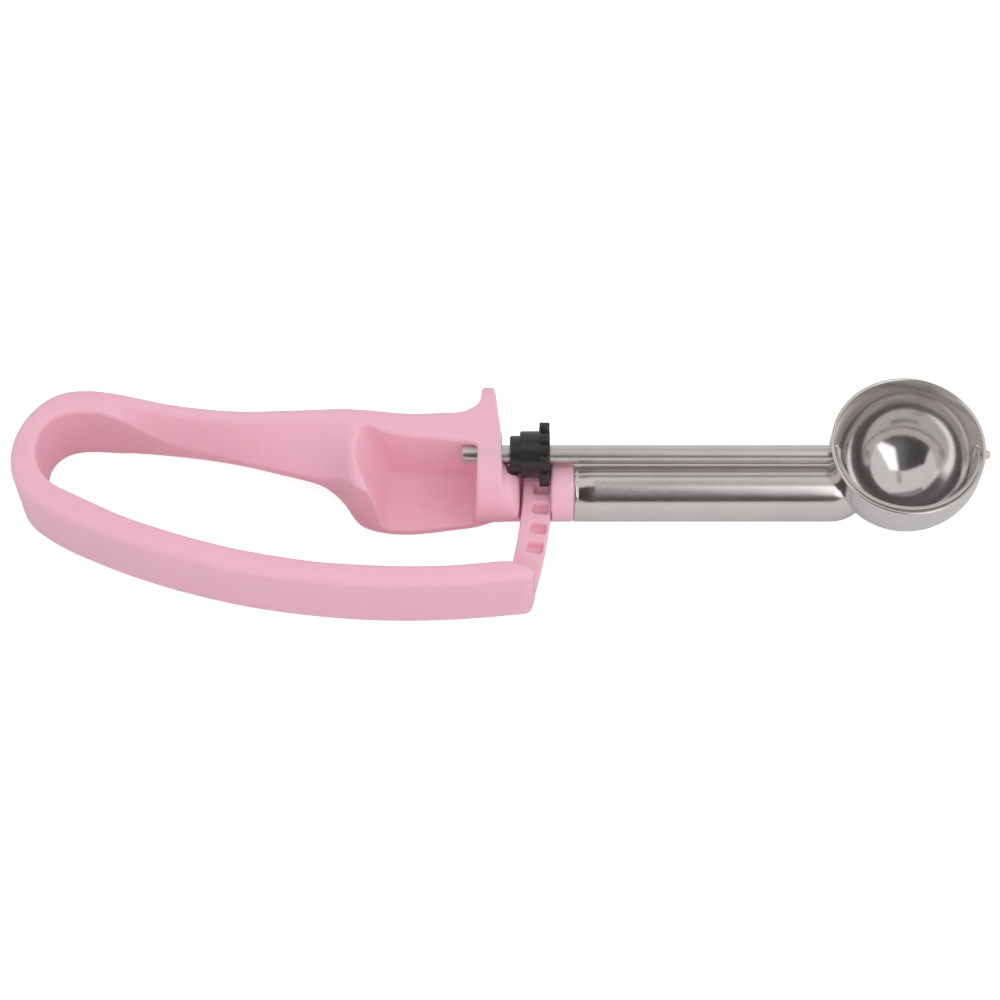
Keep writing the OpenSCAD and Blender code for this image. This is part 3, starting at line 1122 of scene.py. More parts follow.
@dataclass
class HandleMoulding:
    """The pink moulding: body, loop and lever as one skin.

    Attributes:
        shop: makes the meshes.
        section: the strip's section.
        bulkhead_x: left face of the bulkhead.
        bulkhead_end: right face of the bulkhead.
        tab_tip: tip of the thumb tab.
        tab_round: radius of the tab's two shoulders.
        floor_z: height of the thumb pocket's floor.
        rim_z: height of the pocket's rim.
        neck_y: Y of the neck's axis, which lies beside the spindle's.
        neck_r: radius of the neck.
        neck_end: where the neck meets the tube.
        plug_r: radius of the plug that the tube is pushed over.
        plug_end: the plug's end inside the tube.
        flare_end: where the flare has run into the neck.
        cut_end: where the cuts into the body end, left of the cross slot.
        collar_x: left side of the neck's collar.
        rod_r: radius of the rod's hole.
        hub_room: radius of the space for the pinion's hub.
        skin: size of the skin's cells.
        passes: how many times the skin is smoothed.
    """

    shop: Workshop
    section: StripSection = field(default_factory=StripSection)
    bulkhead_x: float = -102.2
    bulkhead_end: float = -96.4
    tab_tip: float = 18.2
    tab_round: float = 5.0
    floor_z: float = -15.1
    rim_z: float = 3.7
    neck_y: float = -6.36
    neck_r: float = 7.0
    neck_end: float = -79.35
    plug_r: float = 6.1
    plug_end: float = -60.0
    flare_end: float = -92.3
    cut_end: float = -90.0
    collar_x: float = -84.85
    rod_r: float = 2.3
    hub_room: float = 4.8
    skin: float = 0.36
    quick_skin: float = 0.8
    passes: int = 12

    def build(self, finish: Finish) -> Solid:
        """Builds the moulding and fits it to the frame.

        Args:
            finish: the plastic.

        Returns:
            The piece.
        """
        parts = [self._strip(), self._tab(), self._bulkhead(), self._neck(), self._flare(), self._web()]
        piece = self.shop.gather("handle_moulding", parts)
        self.shop.mould(piece, self.skin, self.passes)
        self.shop.place(piece, finish)
        self._attach(piece)
        return piece

    def _strip(self) -> Solid:
        """Makes the bent strip with its pocket.

        Returns:
            The strip.
        """
        stations = through(STRIP, 4)
        rings = [self.section.ring(s) for s in stations]
        front, edge = stations[-1], self.section.edge
        for k in range(1, 6):
            angle = math.radians(18 * k)
            on, down = 1.2 * edge * math.sin(angle), 0.1 * edge * math.sin(angle)
            nose = [front[0] + on, front[1] - down, front[2] + on, front[3] - down, FULL, FULL]
            rings.append(self.section.ring(nose, edge * (1 - math.cos(angle)) * 0.8))
        strip = self.shop.loft("strip", rings)
        left, right = self.bulkhead_x - 1.2, self.cut_end
        space = [(left, -20.0), (right, -20.0), (right, 1.0), (left, 1.0)]
        clear = self.shop.prism("clear", space, self.floor_z - 0.01, 12.0, along="z")
        bore = self.shop.bar("bore", self.rod_r, self.bulkhead_x - 2, right)
        return self.shop.combine(strip, [self._pocket(), clear, bore], Cut.REMOVE)

    def _pocket(self) -> Solid:
        """Makes the space of the thumb pocket.

        Its walls run straight from the floor's outline to the rim's, with a
        fillet round the floor and a rounded edge at the rim.

        Returns:
            The cutter.
        """
        wall = self.bulkhead_x
        # X and Y of the floor's outline, then of the rim's.
        outline = through([
            (wall - 1.0, -20.0, wall, -20.0),
            (wall - 1.0, -12.0, wall, -12.0),
            (wall - 1.0, -4.0, wall, -3.0),
            (wall - 1.05, -0.6, wall, 0.6),
            (wall - 1.6, 1.1, wall - 0.4, 1.6),
            (wall - 3.2, 1.5, wall - 1.4, 1.95),
            (-107.4, 1.5, -105.9, 2.4),
            (-111.6, 1.5, -111.7, 3.05),
            (-115.6, 1.5, -117.4, 3.5),
            (-119.0, 1.5, -123.2, 4.6),
            (-121.2, 1.5, -127.5, 6.4),
            (-122.3, 1.25, -129.3, 7.1),
            (-122.75, 0.6, -130.3, 6.7),
            (-122.9, -0.4, -130.9, 5.0),
            (-123.2, -2.4, -131.7, -1.6),
            (-124.1, -6.6, -129.4, -8.4),
            (-125.05, -11.3, -127.5, -13.6),
            (-126.2, -17.0, -125.4, -20.0),
        ], 4)
        fillet, edge, draw = 2.4, 1.0, 0.4
        floor, rim = self.floor_z, self.rim_z - edge
        levels = [(floor, -fillet)]
        for rise in (0.06, 0.25, 0.6, 1.1, 1.7, fillet):
            levels.append((floor + rise, math.sqrt(fillet ** 2 - (fillet - rise) ** 2) - fillet))
        levels += [(rim - 6.0, -draw), (rim, -draw)]
        for rise in (0.4, 0.7, 0.9, 1.0):
            levels.append((rim + rise, edge - math.sqrt(edge ** 2 - rise ** 2) - draw))
        levels.append((self.rim_z + 1.5, edge))
        rings = []
        for z, grow in levels:
            t = (z - self.floor_z) / (self.rim_z - self.floor_z)
            flat = [(p[0] + (p[2] - p[0]) * t, p[1] + (p[3] - p[1]) * t) for p in outline]
            rings.append([(x, y, z) for x, y in self._grown(flat, grow)])
        return self.shop.loft("pocket", rings)

    def _grown(self, flat: Profile, grow: float) -> list[Pair]:
        """Moves the points of an open outline sideways.

        Args:
            flat: the points, anticlockwise.
            grow: how far they move out.

        Returns:
            The moved points.
        """
        made = []
        for i, (x, y) in enumerate(flat):
            one, two = flat[max(i - 1, 0)], flat[min(i + 1, len(flat) - 1)]
            dx, dy = two[0] - one[0], two[1] - one[1]
            length = math.hypot(dx, dy)
            made.append((x + grow * dy / length, y - grow * dx / length))
        return made

    def _tab(self) -> Solid:
        """Makes the thumb tab.

        Returns:
            The tab.
        """
        tip, mid, nose = self.tab_tip, self.section.mid_z, 1.6
        plan = [(self.bulkhead_end, 2.4), (-98.0, tip - 2.4)]
        plan += arc((-99.7, tip - nose), (nose, nose), [5 + 21.25 * k for k in range(9)])
        plan += [(-101.4, 14.0), (-101.8, 12.8), (-102.4, 11.9), (-103.6, 10.9), (-105.2, 10.1)]
        plan += [(-107.0, 9.7), (-109.0, 9.4), (-109.0, 5.0), (self.bulkhead_x, 2.4)]
        tab = self.shop.prism("tab", plan, mid - FULL, mid + FULL, along="z")
        r, deep = self.tab_round, FULL - self.tab_round
        front = [(-5.0, mid - FULL), (-5.0, mid + FULL)]
        front += arc((tip - r, mid + deep), (r, r), [90 - 9 * k for k in range(11)])
        front += arc((tip - r, mid - deep), (r, r), [-9 * k for k in range(11)])
        return self.shop.combine(tab, [self.shop.prism("shoulders", front, -115.0, -85.0)], Cut.KEEP)

    def _face(self, angle: float, slope: float = 12.0) -> Pair:
        """Gives a point of the bulkhead's outline.

        Args:
            angle: from 90 at the top to 270 at the bottom, in degrees.
            slope: how steeply its top first falls towards the open side.

        Returns:
            Y and Z.
        """
        y = 2.7 + 16.1 * math.cos(math.radians(angle))
        z = FULL * math.sin(math.radians(angle))
        if angle < 180:
            most = FULL - math.tan(math.radians(slope)) * max(2.3 - y, 0.0)
            z = max(-most, min(most, z))
        return y, self.section.mid_z + z

    def _bulkhead(self) -> Solid:
        """Makes the bulkhead with the rod's hole.

        Returns:
            The bulkhead.
        """
        mid, left, right = self.section.mid_z, self.bulkhead_x, self.bulkhead_end
        face = [(4.0, mid + FULL), *[self._face(90.0 + 3 * k) for k in range(61)], (4.0, mid - FULL)]
        rings = [[(x, y, z) for y, z in face] for x in (left - 1.0, right)]
        plate = self.shop.loft("bulkhead", rings)
        low, high = self.floor_z - 0.2, self.rim_z + 1.0
        side = [(left - 5.0, low), (left - 1.0, low), (left, high), (left - 5.0, high)]
        draft = self.shop.hull("draft", [(x, y, z) for y in (-30.0, 10.0) for x, z in side])
        bore = self.shop.bar("bore", self.rod_r, left - 3, right + 1)
        return self.shop.combine(plate, [draft, bore], Cut.REMOVE)

    def _channel(self) -> Solid:
        """Makes the space in which the rack crosses the neck.

        Returns:
            The cutter.
        """
        low, high, reach = -30.0, 15.0, RackTongue.outer + 0.25
        side = math.sqrt(RackTongue.inner ** 2 - (self.neck_y - self.neck_r) ** 2)
        left = FLEX[0] + side - 0.3
        curve = arc(FLEX, (reach, reach), range(-14, 8))
        slot = self.shop.prism("channel", [(left, low), *curve, (left, high)], -9.6, -5.7, along="z")
        room = [(left, low), (self.collar_x, low), (self.collar_x, high), (left, high)]
        opening = self.shop.prism("opening", room, -5.75, 10.4, along="z")
        return self.shop.combine(slot, [opening], Cut.ADD)

    def _cutters(self) -> list[Solid]:
        """Makes all that is cut out of neck and flare.

        Returns:
            The channel, the round-off towards it, the hub's room and the bore.
        """
        start = -92.25
        curve = [(7.0, 0.0), (7.8, 0.12), (8.6, 0.45), (9.2, 0.9), (9.7, 1.5), (10.2, 2.0)]
        curve += [(11.5, 2.2), (14.0, 2.2), (14.0, -1.0), (7.0, -1.0)]
        profile = [(radius, start - back) for radius, back in curve]
        lip = self.shop.lathe("lip", profile, 72, (self.neck_y + 1.0, self.section.mid_z - 3.2))
        room = self.shop.bar("bore", self.hub_room, self.bulkhead_end + 1.2, self.cut_end)
        bore = self.shop.bar("bore", self.rod_r, -100.0, self.cut_end)
        return [self._channel(), lip, room, bore]

    def _neck(self) -> Solid:
        """Makes the neck with the rack's cross slot and the plug.

        Returns:
            The neck.
        """
        left = self.bulkhead_end - 1
        outline = [
            (0.0, left), (self.neck_r, left), (self.neck_r, self.neck_end),
            (self.plug_r, self.neck_end), (self.plug_r, self.plug_end), (0.0, self.plug_end),
        ]
        neck = self.shop.lathe("neck", outline, 96, (self.neck_y, self.section.mid_z))
        return self.shop.combine(neck, self._cutters(), Cut.REMOVE)

    def _flare(self) -> Solid:
        """Makes the hollow flare that carries the bulkhead into the neck.

        Returns:
            The flare.
        """
        start, steps, inside = self.bulkhead_end - 0.6, 10, self.neck_r - 0.02
        angles = [90.0 + 3 * j for j in range(61)]
        first = [self._face(angle) for angle in angles]
        turned = [180.0 + (angle - 180.0) * 1.6 for angle in angles]
        last = arc((self.neck_y, self.section.mid_z), (inside, inside), turned)
        rings = []
        for k in range(steps + 1):
            t = k / steps
            x, ease = start + (self.flare_end - start) * t, 1 - (1 - t) ** 4
            ring = []
            for (y, z), (neck_y, neck_z) in zip(first, last):
                ring.append((x, y + (neck_y - y) * ease, z + (neck_z - z) * ease))
            rings.append(ring)
        flare = self.shop.loft("flare", rings)
        return self.shop.combine(flare, self._cutters(), Cut.REMOVE)

    def _web(self) -> Solid:
        """Makes the swelling with which the rack grows out of the lever.

        Returns:
            The web.
        """
        near, far, high, steps = 117.2, 123.7, -6.1, 8
        rings = []
        for k in range(steps + 1):
            t = k / steps
            angle, low = -12.7 - 2.3 * t, -9.2 - 6.8 * t ** 2.0
            corner = ((near, low), (far, low), (far, high), (near, high))
            rings.append([(*arc(FLEX, (radius, radius), [angle])[0], z) for radius, z in corner])
        return self.shop.loft("web", rings)

    def _attach(self, piece: Solid) -> None:
        """Bakes the moulding's place into its mesh and hides the solids that it replaces.

        Args:
            piece: the moulding.
        """
        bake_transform(piece)
        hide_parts("handle_body", "spring_bend", "squeeze_lever")


@dataclass
class RackTongue:
    """The curved rack on the lever's front end.

    Attributes:
        shop: makes the meshes.
        inner: the rack's inner radius about the loop's turning axis.
        outer: the rack's outer radius.
        root: where the rack leaves the lever, in degrees.
        tip: its free end in degrees.
        top: height of its toothed face.
        thick: its thickness.
        step: degrees from slot to slot.
        first: place of the first slot in degrees.
        slots: number of slots.
        slot_half: half a slot's width at the pitch height.
        pitch_z: the pitch height.
        flank: slope of the slots' sides in degrees.
        skin: size of the skin's cells.
        passes: how many times the skin is smoothed.
    """

    shop: Workshop
    inner: float = 117.0
    outer: float = 124.0
    root: float = -15.0
    tip: float = 1.35
    top: float = -5.9
    thick: float = 3.4
    step: float = 2.45
    first: float = -0.4
    slots: int = 5
    slot_half: float = 1.2
    pitch_z: float = -6.64
    flank: float = 20.0
    skin: float = 0.18
    quick_skin: float = 0.5
    passes: int = 40

    def build(self, finish: Finish) -> Solid:
        """Builds the rack and fits it to the lever.

        Args:
            finish: the plastic.

        Returns:
            The piece.
        """
        steps = 42
        there = [self.root + (self.tip - self.root) * k / steps for k in range(steps + 1)]
        back = [self.tip + (self.root - self.tip) * k / steps for k in range(steps + 1)]
        outline = arc(FLEX, (self.outer, self.outer), there) + arc(FLEX, (self.inner, self.inner), back)
        rack = self.shop.prism("rack_tongue", outline, self.top - self.thick, self.top, along="z")
        self.shop.combine(rack, [self._slot(i) for i in range(self.slots)], Cut.REMOVE)
        self.shop.mould(rack, self.skin, self.passes)
        self.shop.place(rack, finish)
        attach(rack, "lever")
        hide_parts("squeeze_lever")
        return rack

    def _slot(self, index: int) -> Solid:
        """Makes the cutter of one slot.

        Args:
            index: the slot's number from the tip.

        Returns:
            The cutter.
        """
        low, high, slope = self.top - 2.1, self.top + 0.5, math.tan(math.radians(self.flank))
        floor, mouth = (self.slot_half + (z - self.pitch_z) * slope for z in (low, high))
        profile = [(-floor, low), (floor, low), (mouth, high), (-mouth, high)]
        cutter = self.shop.prism("slot", profile, 119.6, 123.4)
        turn = Matrix.Rotation(math.radians(self.first - index * self.step), 4, "Z")
        cutter.data.transform(Matrix.Translation((*FLEX, 0.0)) @ turn)
        return cutter


# ------------------------------------------------------------ steel sub-parts


@dataclass
class Shank:
    """The steel tube between handle and bowl.

    Attributes:
        shop: makes the meshes.
        radius: outside radius of the tube.
        wall: thickness of its wall.
        start: its open end.
        straight: length of its straight part.
        round_from: where it starts to close.
        cap: how far its closed end is drawn out.
        groove: depth of the groove behind the open end.
        bowl_r: outside radius of the bowl that it meets.
        axis: Y and Z of the tube's axis.
    """

    shop: Workshop
    radius: float = 7.0
    wall: float = 0.8
    start: float = -79.3
    straight: float = 61.0
    round_from: float = -18.0
    cap: float = 8.5
    groove: float = 0.12
    bowl_r: float = 18.3
    axis: Pair = (-6.36, -7.3)

    def build(self, finish: Finish) -> Solid:
        """Builds the tube.

        Args:
            finish: the tube's steel.

        Returns:
            The piece.
        """
        start, lip, cut, inner_r = self.start, 0.25, self.radius - self.groove, self.radius - self.wall
        outer = arc((self.radius - lip, start + lip), (lip, -lip), (90, 60, 30, 0))
        outer += [(self.radius, start + 0.75), (cut, start + 0.9), (cut, start + 1.1)]
        outer += [(self.radius, start + 1.3)]
        outer += [(self.radius, start + self.straight * k / 12) for k in range(1, 12)]
        round_off = [4.5 * k for k in range(20)]
        outer += arc((0.0, self.round_from), (self.radius, self.cap), round_off)
        inner = arc((0.0, self.round_from), (inner_r, self.cap - self.wall), reversed(round_off))
        poles = [(0.0, self.round_from + self.cap), (0.0, self.round_from + self.cap - self.wall)]
        profile = [*outer, *poles, *inner, (inner_r, start + 0.01)]
        tube = self.shop.lathe("shank", profile, 128, self.axis)
        self.shop.combine(tube, [self.shop.at_bowl(self._ball())], Cut.REMOVE)
        self.shop.place(tube, finish, 40.0)
        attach(tube, "handle")
        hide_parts("shank_tube")
        return tube

    def _ball(self) -> Solid:
        """Makes the ball that hollows the tube's end to the bowl's outside.

        Returns:
            The cutter.
        """
        radius = self.bowl_r - 0.05
        side = arc((0.0, 0.0), (radius, radius), [3 * k - 90 for k in range(1, 60)])
        return self.shop.lathe("ball", [(0.0, -radius), *side, (0.0, radius)], 120)


@dataclass
class Bowl:
    """The spun steel bowl.

    Attributes:
        shop: makes the meshes.
        inner: inside radius.
        wall: thickness of the sheet.
        lip: straight wall above the hemisphere.
        rod_hole: radius of the hole for the rod.
        pin_hole: radius of the hole for the rivet.
    """

    shop: Workshop
    inner: float = 17.5
    wall: float = 0.8
    lip: float = 4.8
    rod_hole: float = 2.3
    pin_hole: float = 1.15

    def build(self, finish: Finish) -> Solid:
        """Builds the bowl.

        Args:
            finish: the bowl's steel.

        Returns:
            The piece.
        """
        outer, edge = self.inner + self.wall, self.wall / 2
        round_off = [2.5 * k - 90 for k in range(1, 37)]
        profile = [(0.0, -outer), *arc((0.0, 0.0), (outer, outer), round_off)]
        profile += [(outer, self.lip * k / 5) for k in range(1, 5)]
        profile += arc((self.inner + edge, self.lip - edge), (edge, edge), range(0, 181, 15))
        profile += [(self.inner, self.lip * k / 5) for k in range(4, 0, -1)]
        profile += arc((0.0, 0.0), (self.inner, self.inner), reversed(round_off))
        profile += [(0.0, -self.inner)]
        bowl = self.shop.lathe("bowl_shell", profile, 192)
        bowl.data.transform(Matrix.Rotation(math.radians(-90.0), 4, "Y"))
        holes = [
            self.shop.bar("hole", self.rod_hole, -20.0, -10.0),
            self.shop.bar("hole", self.pin_hole, 10.0, 20.0),
        ]
        self.shop.combine(bowl, holes, Cut.REMOVE)
        self.shop.place(self.shop.at_bowl(bowl), finish, 40.0)
        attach(bowl, "handle")
        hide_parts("bowl")
        return bowl


@dataclass
class Spindle:
    """What the rack turns: pinion, rod, blade and rivet.

    Attributes:
        shop: makes the meshes.
        rod_r: radius of the rod.
        rod_end: the rod's far end.
        blade_r: outside radius of the blade.
        crown: how much lower the blade's edges are than its middle.
        blade_thick: its thickness.
        blade_w: its width.
        rest: angle of the resting blade above the bowl's equator.
        teeth: number of the pinion's teeth.
        tooth_half: half a tooth's width at the pitch radius.
        rack_r: radius at which the rack's slots are spaced as the teeth are.
        pressure: slope of the teeth's sides in degrees.
        tip_r: radius over the teeth.
        root_r: radius between the teeth.
        hub_r: radius of the thin part of the hub.
        disc_x: middle of the toothed disc.
        face: width of the toothed disc.
        phase: turn of the pinion at rest, in degrees.
        nub_r: radius of the rivet outside the bowl.
        nub_end: end of the rivet outside the bowl.
        nub_round: length of its rounded end.
    """

    shop: Workshop
    rod_r: float = 2.25
    rod_end: float = -105.6
    blade_r: float = 17.25
    crown: float = 0.1
    blade_thick: float = 0.8
    blade_w: float = 6.0
    rest: float = 5.0
    teeth: int = 8
    tooth_half: float = 0.95
    rack_r: float = 121.85
    pressure: float = 20.0
    tip_r: float = 7.73
    root_r: float = 5.6
    hub_r: float = 4.5
    disc_x: float = -86.35
    face: float = 2.4
    phase: float = -6.98
    nub_r: float = 1.1
    nub_end: float = 20.05
    nub_round: float = 0.9

    def build(self, rod: Finish, blade: Finish, nylon: Finish) -> list[Solid]:
        """Builds the four pieces.

        Args:
            rod: the rod's steel.
            blade: the blade's steel.
            nylon: the pinion's plastic.

        Returns:
            The pieces.
        """
        at_bowl = self.shop.at_bowl
        return [
            self._dress(at_bowl(self._rod()), rod, "spindle_rod"),
            self._dress(self._pinion(), nylon, "drive_pinion"),
            self._dress(at_bowl(self._blade()), blade, "scraper_blade"),
            self._dress(at_bowl(self._rivet()), rod, "pivot_rivet"),
        ]

    def _dress(self, piece: Solid, finish: Finish, node: str) -> Solid:
        """Places a piece, gives it its finish and hangs it on the spindle.

        Args:
            piece: the piece, in millimetres.
            finish: its material.
            node: the solid that it stands for.

        Returns:
            The same piece.
        """
        self.shop.place(piece, finish, 35.0)
        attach(piece, "spindle")
        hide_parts(node)
        return piece

    def _rod(self) -> Solid:
        """Makes the rod with its chamfered end and riveted tenon.

        Returns:
            The rod.
        """
        r, end, seat = self.rod_r, self.rod_end, -self.blade_r - 0.1
        head = -self.blade_r + self.blade_thick
        profile = [(0.0, end), (r - 0.55, end), (r - 0.2, end + 0.1), (r, end + 0.4)]
        profile += [(r, end + (seat - end) * k / 16) for k in range(1, 16)]
        profile += [(r, seat), (1.5, seat), (1.5, head + 0.15), (2.0, head + 0.15)]
        profile += [(1.9, head + 0.6), (1.2, head + 0.85), (0.0, head + 0.9)]
        return self.shop.lathe("spindle_bar", profile, 64)

    def _pitch_r(self) -> float:
        """Gives the radius at which the teeth are spaced as the rack's slots."""
        return self.rack_r * math.radians(RackTongue.step) * self.teeth / (2 * math.pi)

    def _base_r(self) -> float:
        """Gives the radius from which the teeth's sides unroll."""
        return self._pitch_r() * math.cos(math.radians(self.pressure))

    def _involute(self, radius: float) -> float:
        """Gives the angle that a tooth's side has unrolled at a radius, in degrees."""
        angle = math.acos(min(1.0, self._base_r() / radius))
        return math.degrees(math.tan(angle) - angle)

    def _tooth_angle(self, radius: float) -> float:
        """Gives half a tooth's width at a radius.

        Args:
            radius: the radius.

        Returns:
            The angle in degrees.
        """
        pitch_r = self._pitch_r()
        at_pitch = math.degrees(self.tooth_half / pitch_r) + self._involute(pitch_r)
        return at_pitch - self._involute(max(radius, self._base_r()))

    def _pinion(self) -> Solid:
        """Makes the pinion with its two hubs.

        Returns:
            The pinion.
        """
        base_r = self._base_r()
        radii = [base_r + (self.tip_r - base_r) * k / 5 for k in range(6)]
        side = [(self.root_r, -self._tooth_angle(base_r))] + [(r, -self._tooth_angle(r)) for r in radii]
        tooth = side + [(r, -a) for r, a in reversed(side)]
        outline: list[Pair] = []
        for i in range(self.teeth):
            middle = -90.0 + self.phase + i * 360.0 / self.teeth
            for r, a in tooth:
                outline += arc((0.0, 0.0), (r, r), [middle + a])
        left, right = self.disc_x - self.face / 2, self.disc_x + self.face / 2
        disc = self.shop.prism("pinion", outline, left, right)
        self.shop.bevel(disc, 0.22, 3, 30.0)
        step, small, bore, thin, wide = left - 4.6, left - 7.0, self.rod_r, self.hub_r, self.root_r
        profile = [
            (bore, small), (thin - 0.5, small), (thin - 0.15, small + 0.12), (thin, small + 0.45),
            (thin, step - 0.15), (thin + 0.1, step), (wide - 0.45, step), (wide - 0.13, step + 0.13),
            (wide, step + 0.45), (wide, left - 0.3), (wide + 0.12, left - 0.08),
            (wide + 0.12, right + 0.02), (wide - 0.5, right + 0.06), (bore + 0.8, right + 0.06),
            (bore + 0.5, right - 0.1), (bore, right - 0.1),
        ]
        return self.shop.gather("pinion", [disc, self.shop.lathe("hub", profile, 96)])

    def _blade(self) -> Solid:
        """Makes the curved blade with its round ends.

        Returns:
            The blade.
        """
        half, rows = self.blade_w / 2, 4
        outer_r, inner_r = self.blade_r, self.blade_r - self.blade_thick
        # Angle and half width of each row of points, from one round end to the other.
        spans: list[Pair] = []
        for k in range(13):
            y = -half + half * k / 12
            width = math.sqrt(max(half * half - y * y, 0.0))
            spans.append((-math.degrees(math.asin(-y / outer_r)), max(width, 0.15)))
        far = [(180.0 - a, w) for a, w in reversed(spans)]
        spans += [(3.0 * k, half) for k in range(1, 60)] + far
        points: list[Point] = []
        for radius in (outer_r, inner_r):
            for angle, width in spans:
                for j in range(rows + 1):
                    t = width * (2.0 * j / rows - 1.0)
                    a, bent = math.radians(angle), radius - self.crown * (t / half) ** 2
                    points.append((-bent * math.cos(a), -bent * math.sin(a), t))
        count, cols = rows + 1, len(spans)
        layer = count * cols
        faces: list[list[int]] = []
        for i in range(cols - 1):
            for j in range(rows):
                q = [i * count + j, i * count + j + 1, (i + 1) * count + j + 1, (i + 1) * count + j]
                faces.append(q)
                faces.append([layer + v for v in reversed(q)])
        rim = [(i * count + j, (i + 1) * count + j) for i in range(cols - 1) for j in (0, rows)]
        rim += [(i * count + j, i * count + j + 1) for i in (0, cols - 1) for j in range(rows)]
        faces += [[a, b, layer + b, layer + a] for a, b in rim]
        blade = self.shop.solid("sweep_blade", points, faces)
        blade.data.transform(Matrix.Rotation(math.radians(-self.rest), 4, "X"))
        return self.shop.bevel(blade, 0.12, 2, 50.0)

    def _rivet(self) -> Solid:
        """Makes the blade's far pivot.

        Returns:
            The rivet.
        """
        inside, neck = self.blade_r - self.blade_thick, self.nub_end - self.nub_round
        profile = [(0.0, inside - 0.95), (1.0, inside - 0.9), (1.6, inside - 0.7)]
        profile += [(1.9, inside - 0.35), (1.9, inside - 0.15), (self.nub_r, inside - 0.15)]
        profile += [(self.nub_r, neck)]
        profile += arc((0.0, neck), (self.nub_r, self.nub_round), [15 * k for k in range(1, 6)])
        profile += [(0.0, self.nub_end)]
        return self.shop.lathe("pivot_pin", profile, 48)


# ---------------------------------------------------------------- the studio


@dataclass(frozen=True)
class SkyPatch:
    """A part of the tent that mirrors show in a tone of its own.

    Attributes:
        name: its name.
        lines: the straight lines round it. Each gives the line's share of the
            angle from the zenith to the front and of the angle to the right,
            the limit that the sum of both has to pass, and half the width of
            the edge, in degrees.
        tone: its colour.
        cover: how much of that colour shows.
        within: the earlier patch that it lies in, if it does.
    """

    name: str
    lines: tuple[tuple[float, float, float, float], ...]
    tone: Colour
    cover: float = 1.0
    within: str | None = None


TENT: Colour = (0.77, 0.75, 0.735)
PATCHES = (
    SkyPatch("roof", (
        (-1.0, 0.0, 0.0, 4.0), (1.0, 0.0, -19.0, 5.0), (0.0, 1.0, 0.5, 3.0), (0.0, -1.0, -6.5, 3.0),
    ), (0.40, 0.39, 0.38)),
    SkyPatch("seam", (
        (-1.0, -0.11, 34.6, 1.0), (1.0, -0.14, -46.3, 3.0), (0.0, 1.0, -27.0, 1.0), (0.0, -1.0, -16.5, 1.0),
    ), (0.14, 0.135, 0.135), cover=0.75),
    SkyPatch("opening", (
        (1.0, 0.0, 2.2, 2.0), (-1.0, -0.075, -67.0, 3.0), (-1.0, -0.4, -66.6, 2.0),
        (0.52, -1.0, -16.6, 2.0), (0.294, 1.0, -34.2, 2.0), (1.0, 0.283, -0.8, 2.0),
        (-1.0, 0.511, -76.0, 2.0),
    ), (0.045, 0.044, 0.044)),
    SkyPatch("glow", (
        (0.0, 1.0, -7.0, 15.0), (-1.0, 0.0, -52.0, 10.0),
    ), (0.17, 0.167, 0.165), within="opening"),
    SkyPatch("panel", (
        (-0.146, 1.0, 3.36, 3.0), (-1.0, 0.53, -33.5, 3.5),
    ), (1.6, 1.6, 1.6), within="opening"),
)


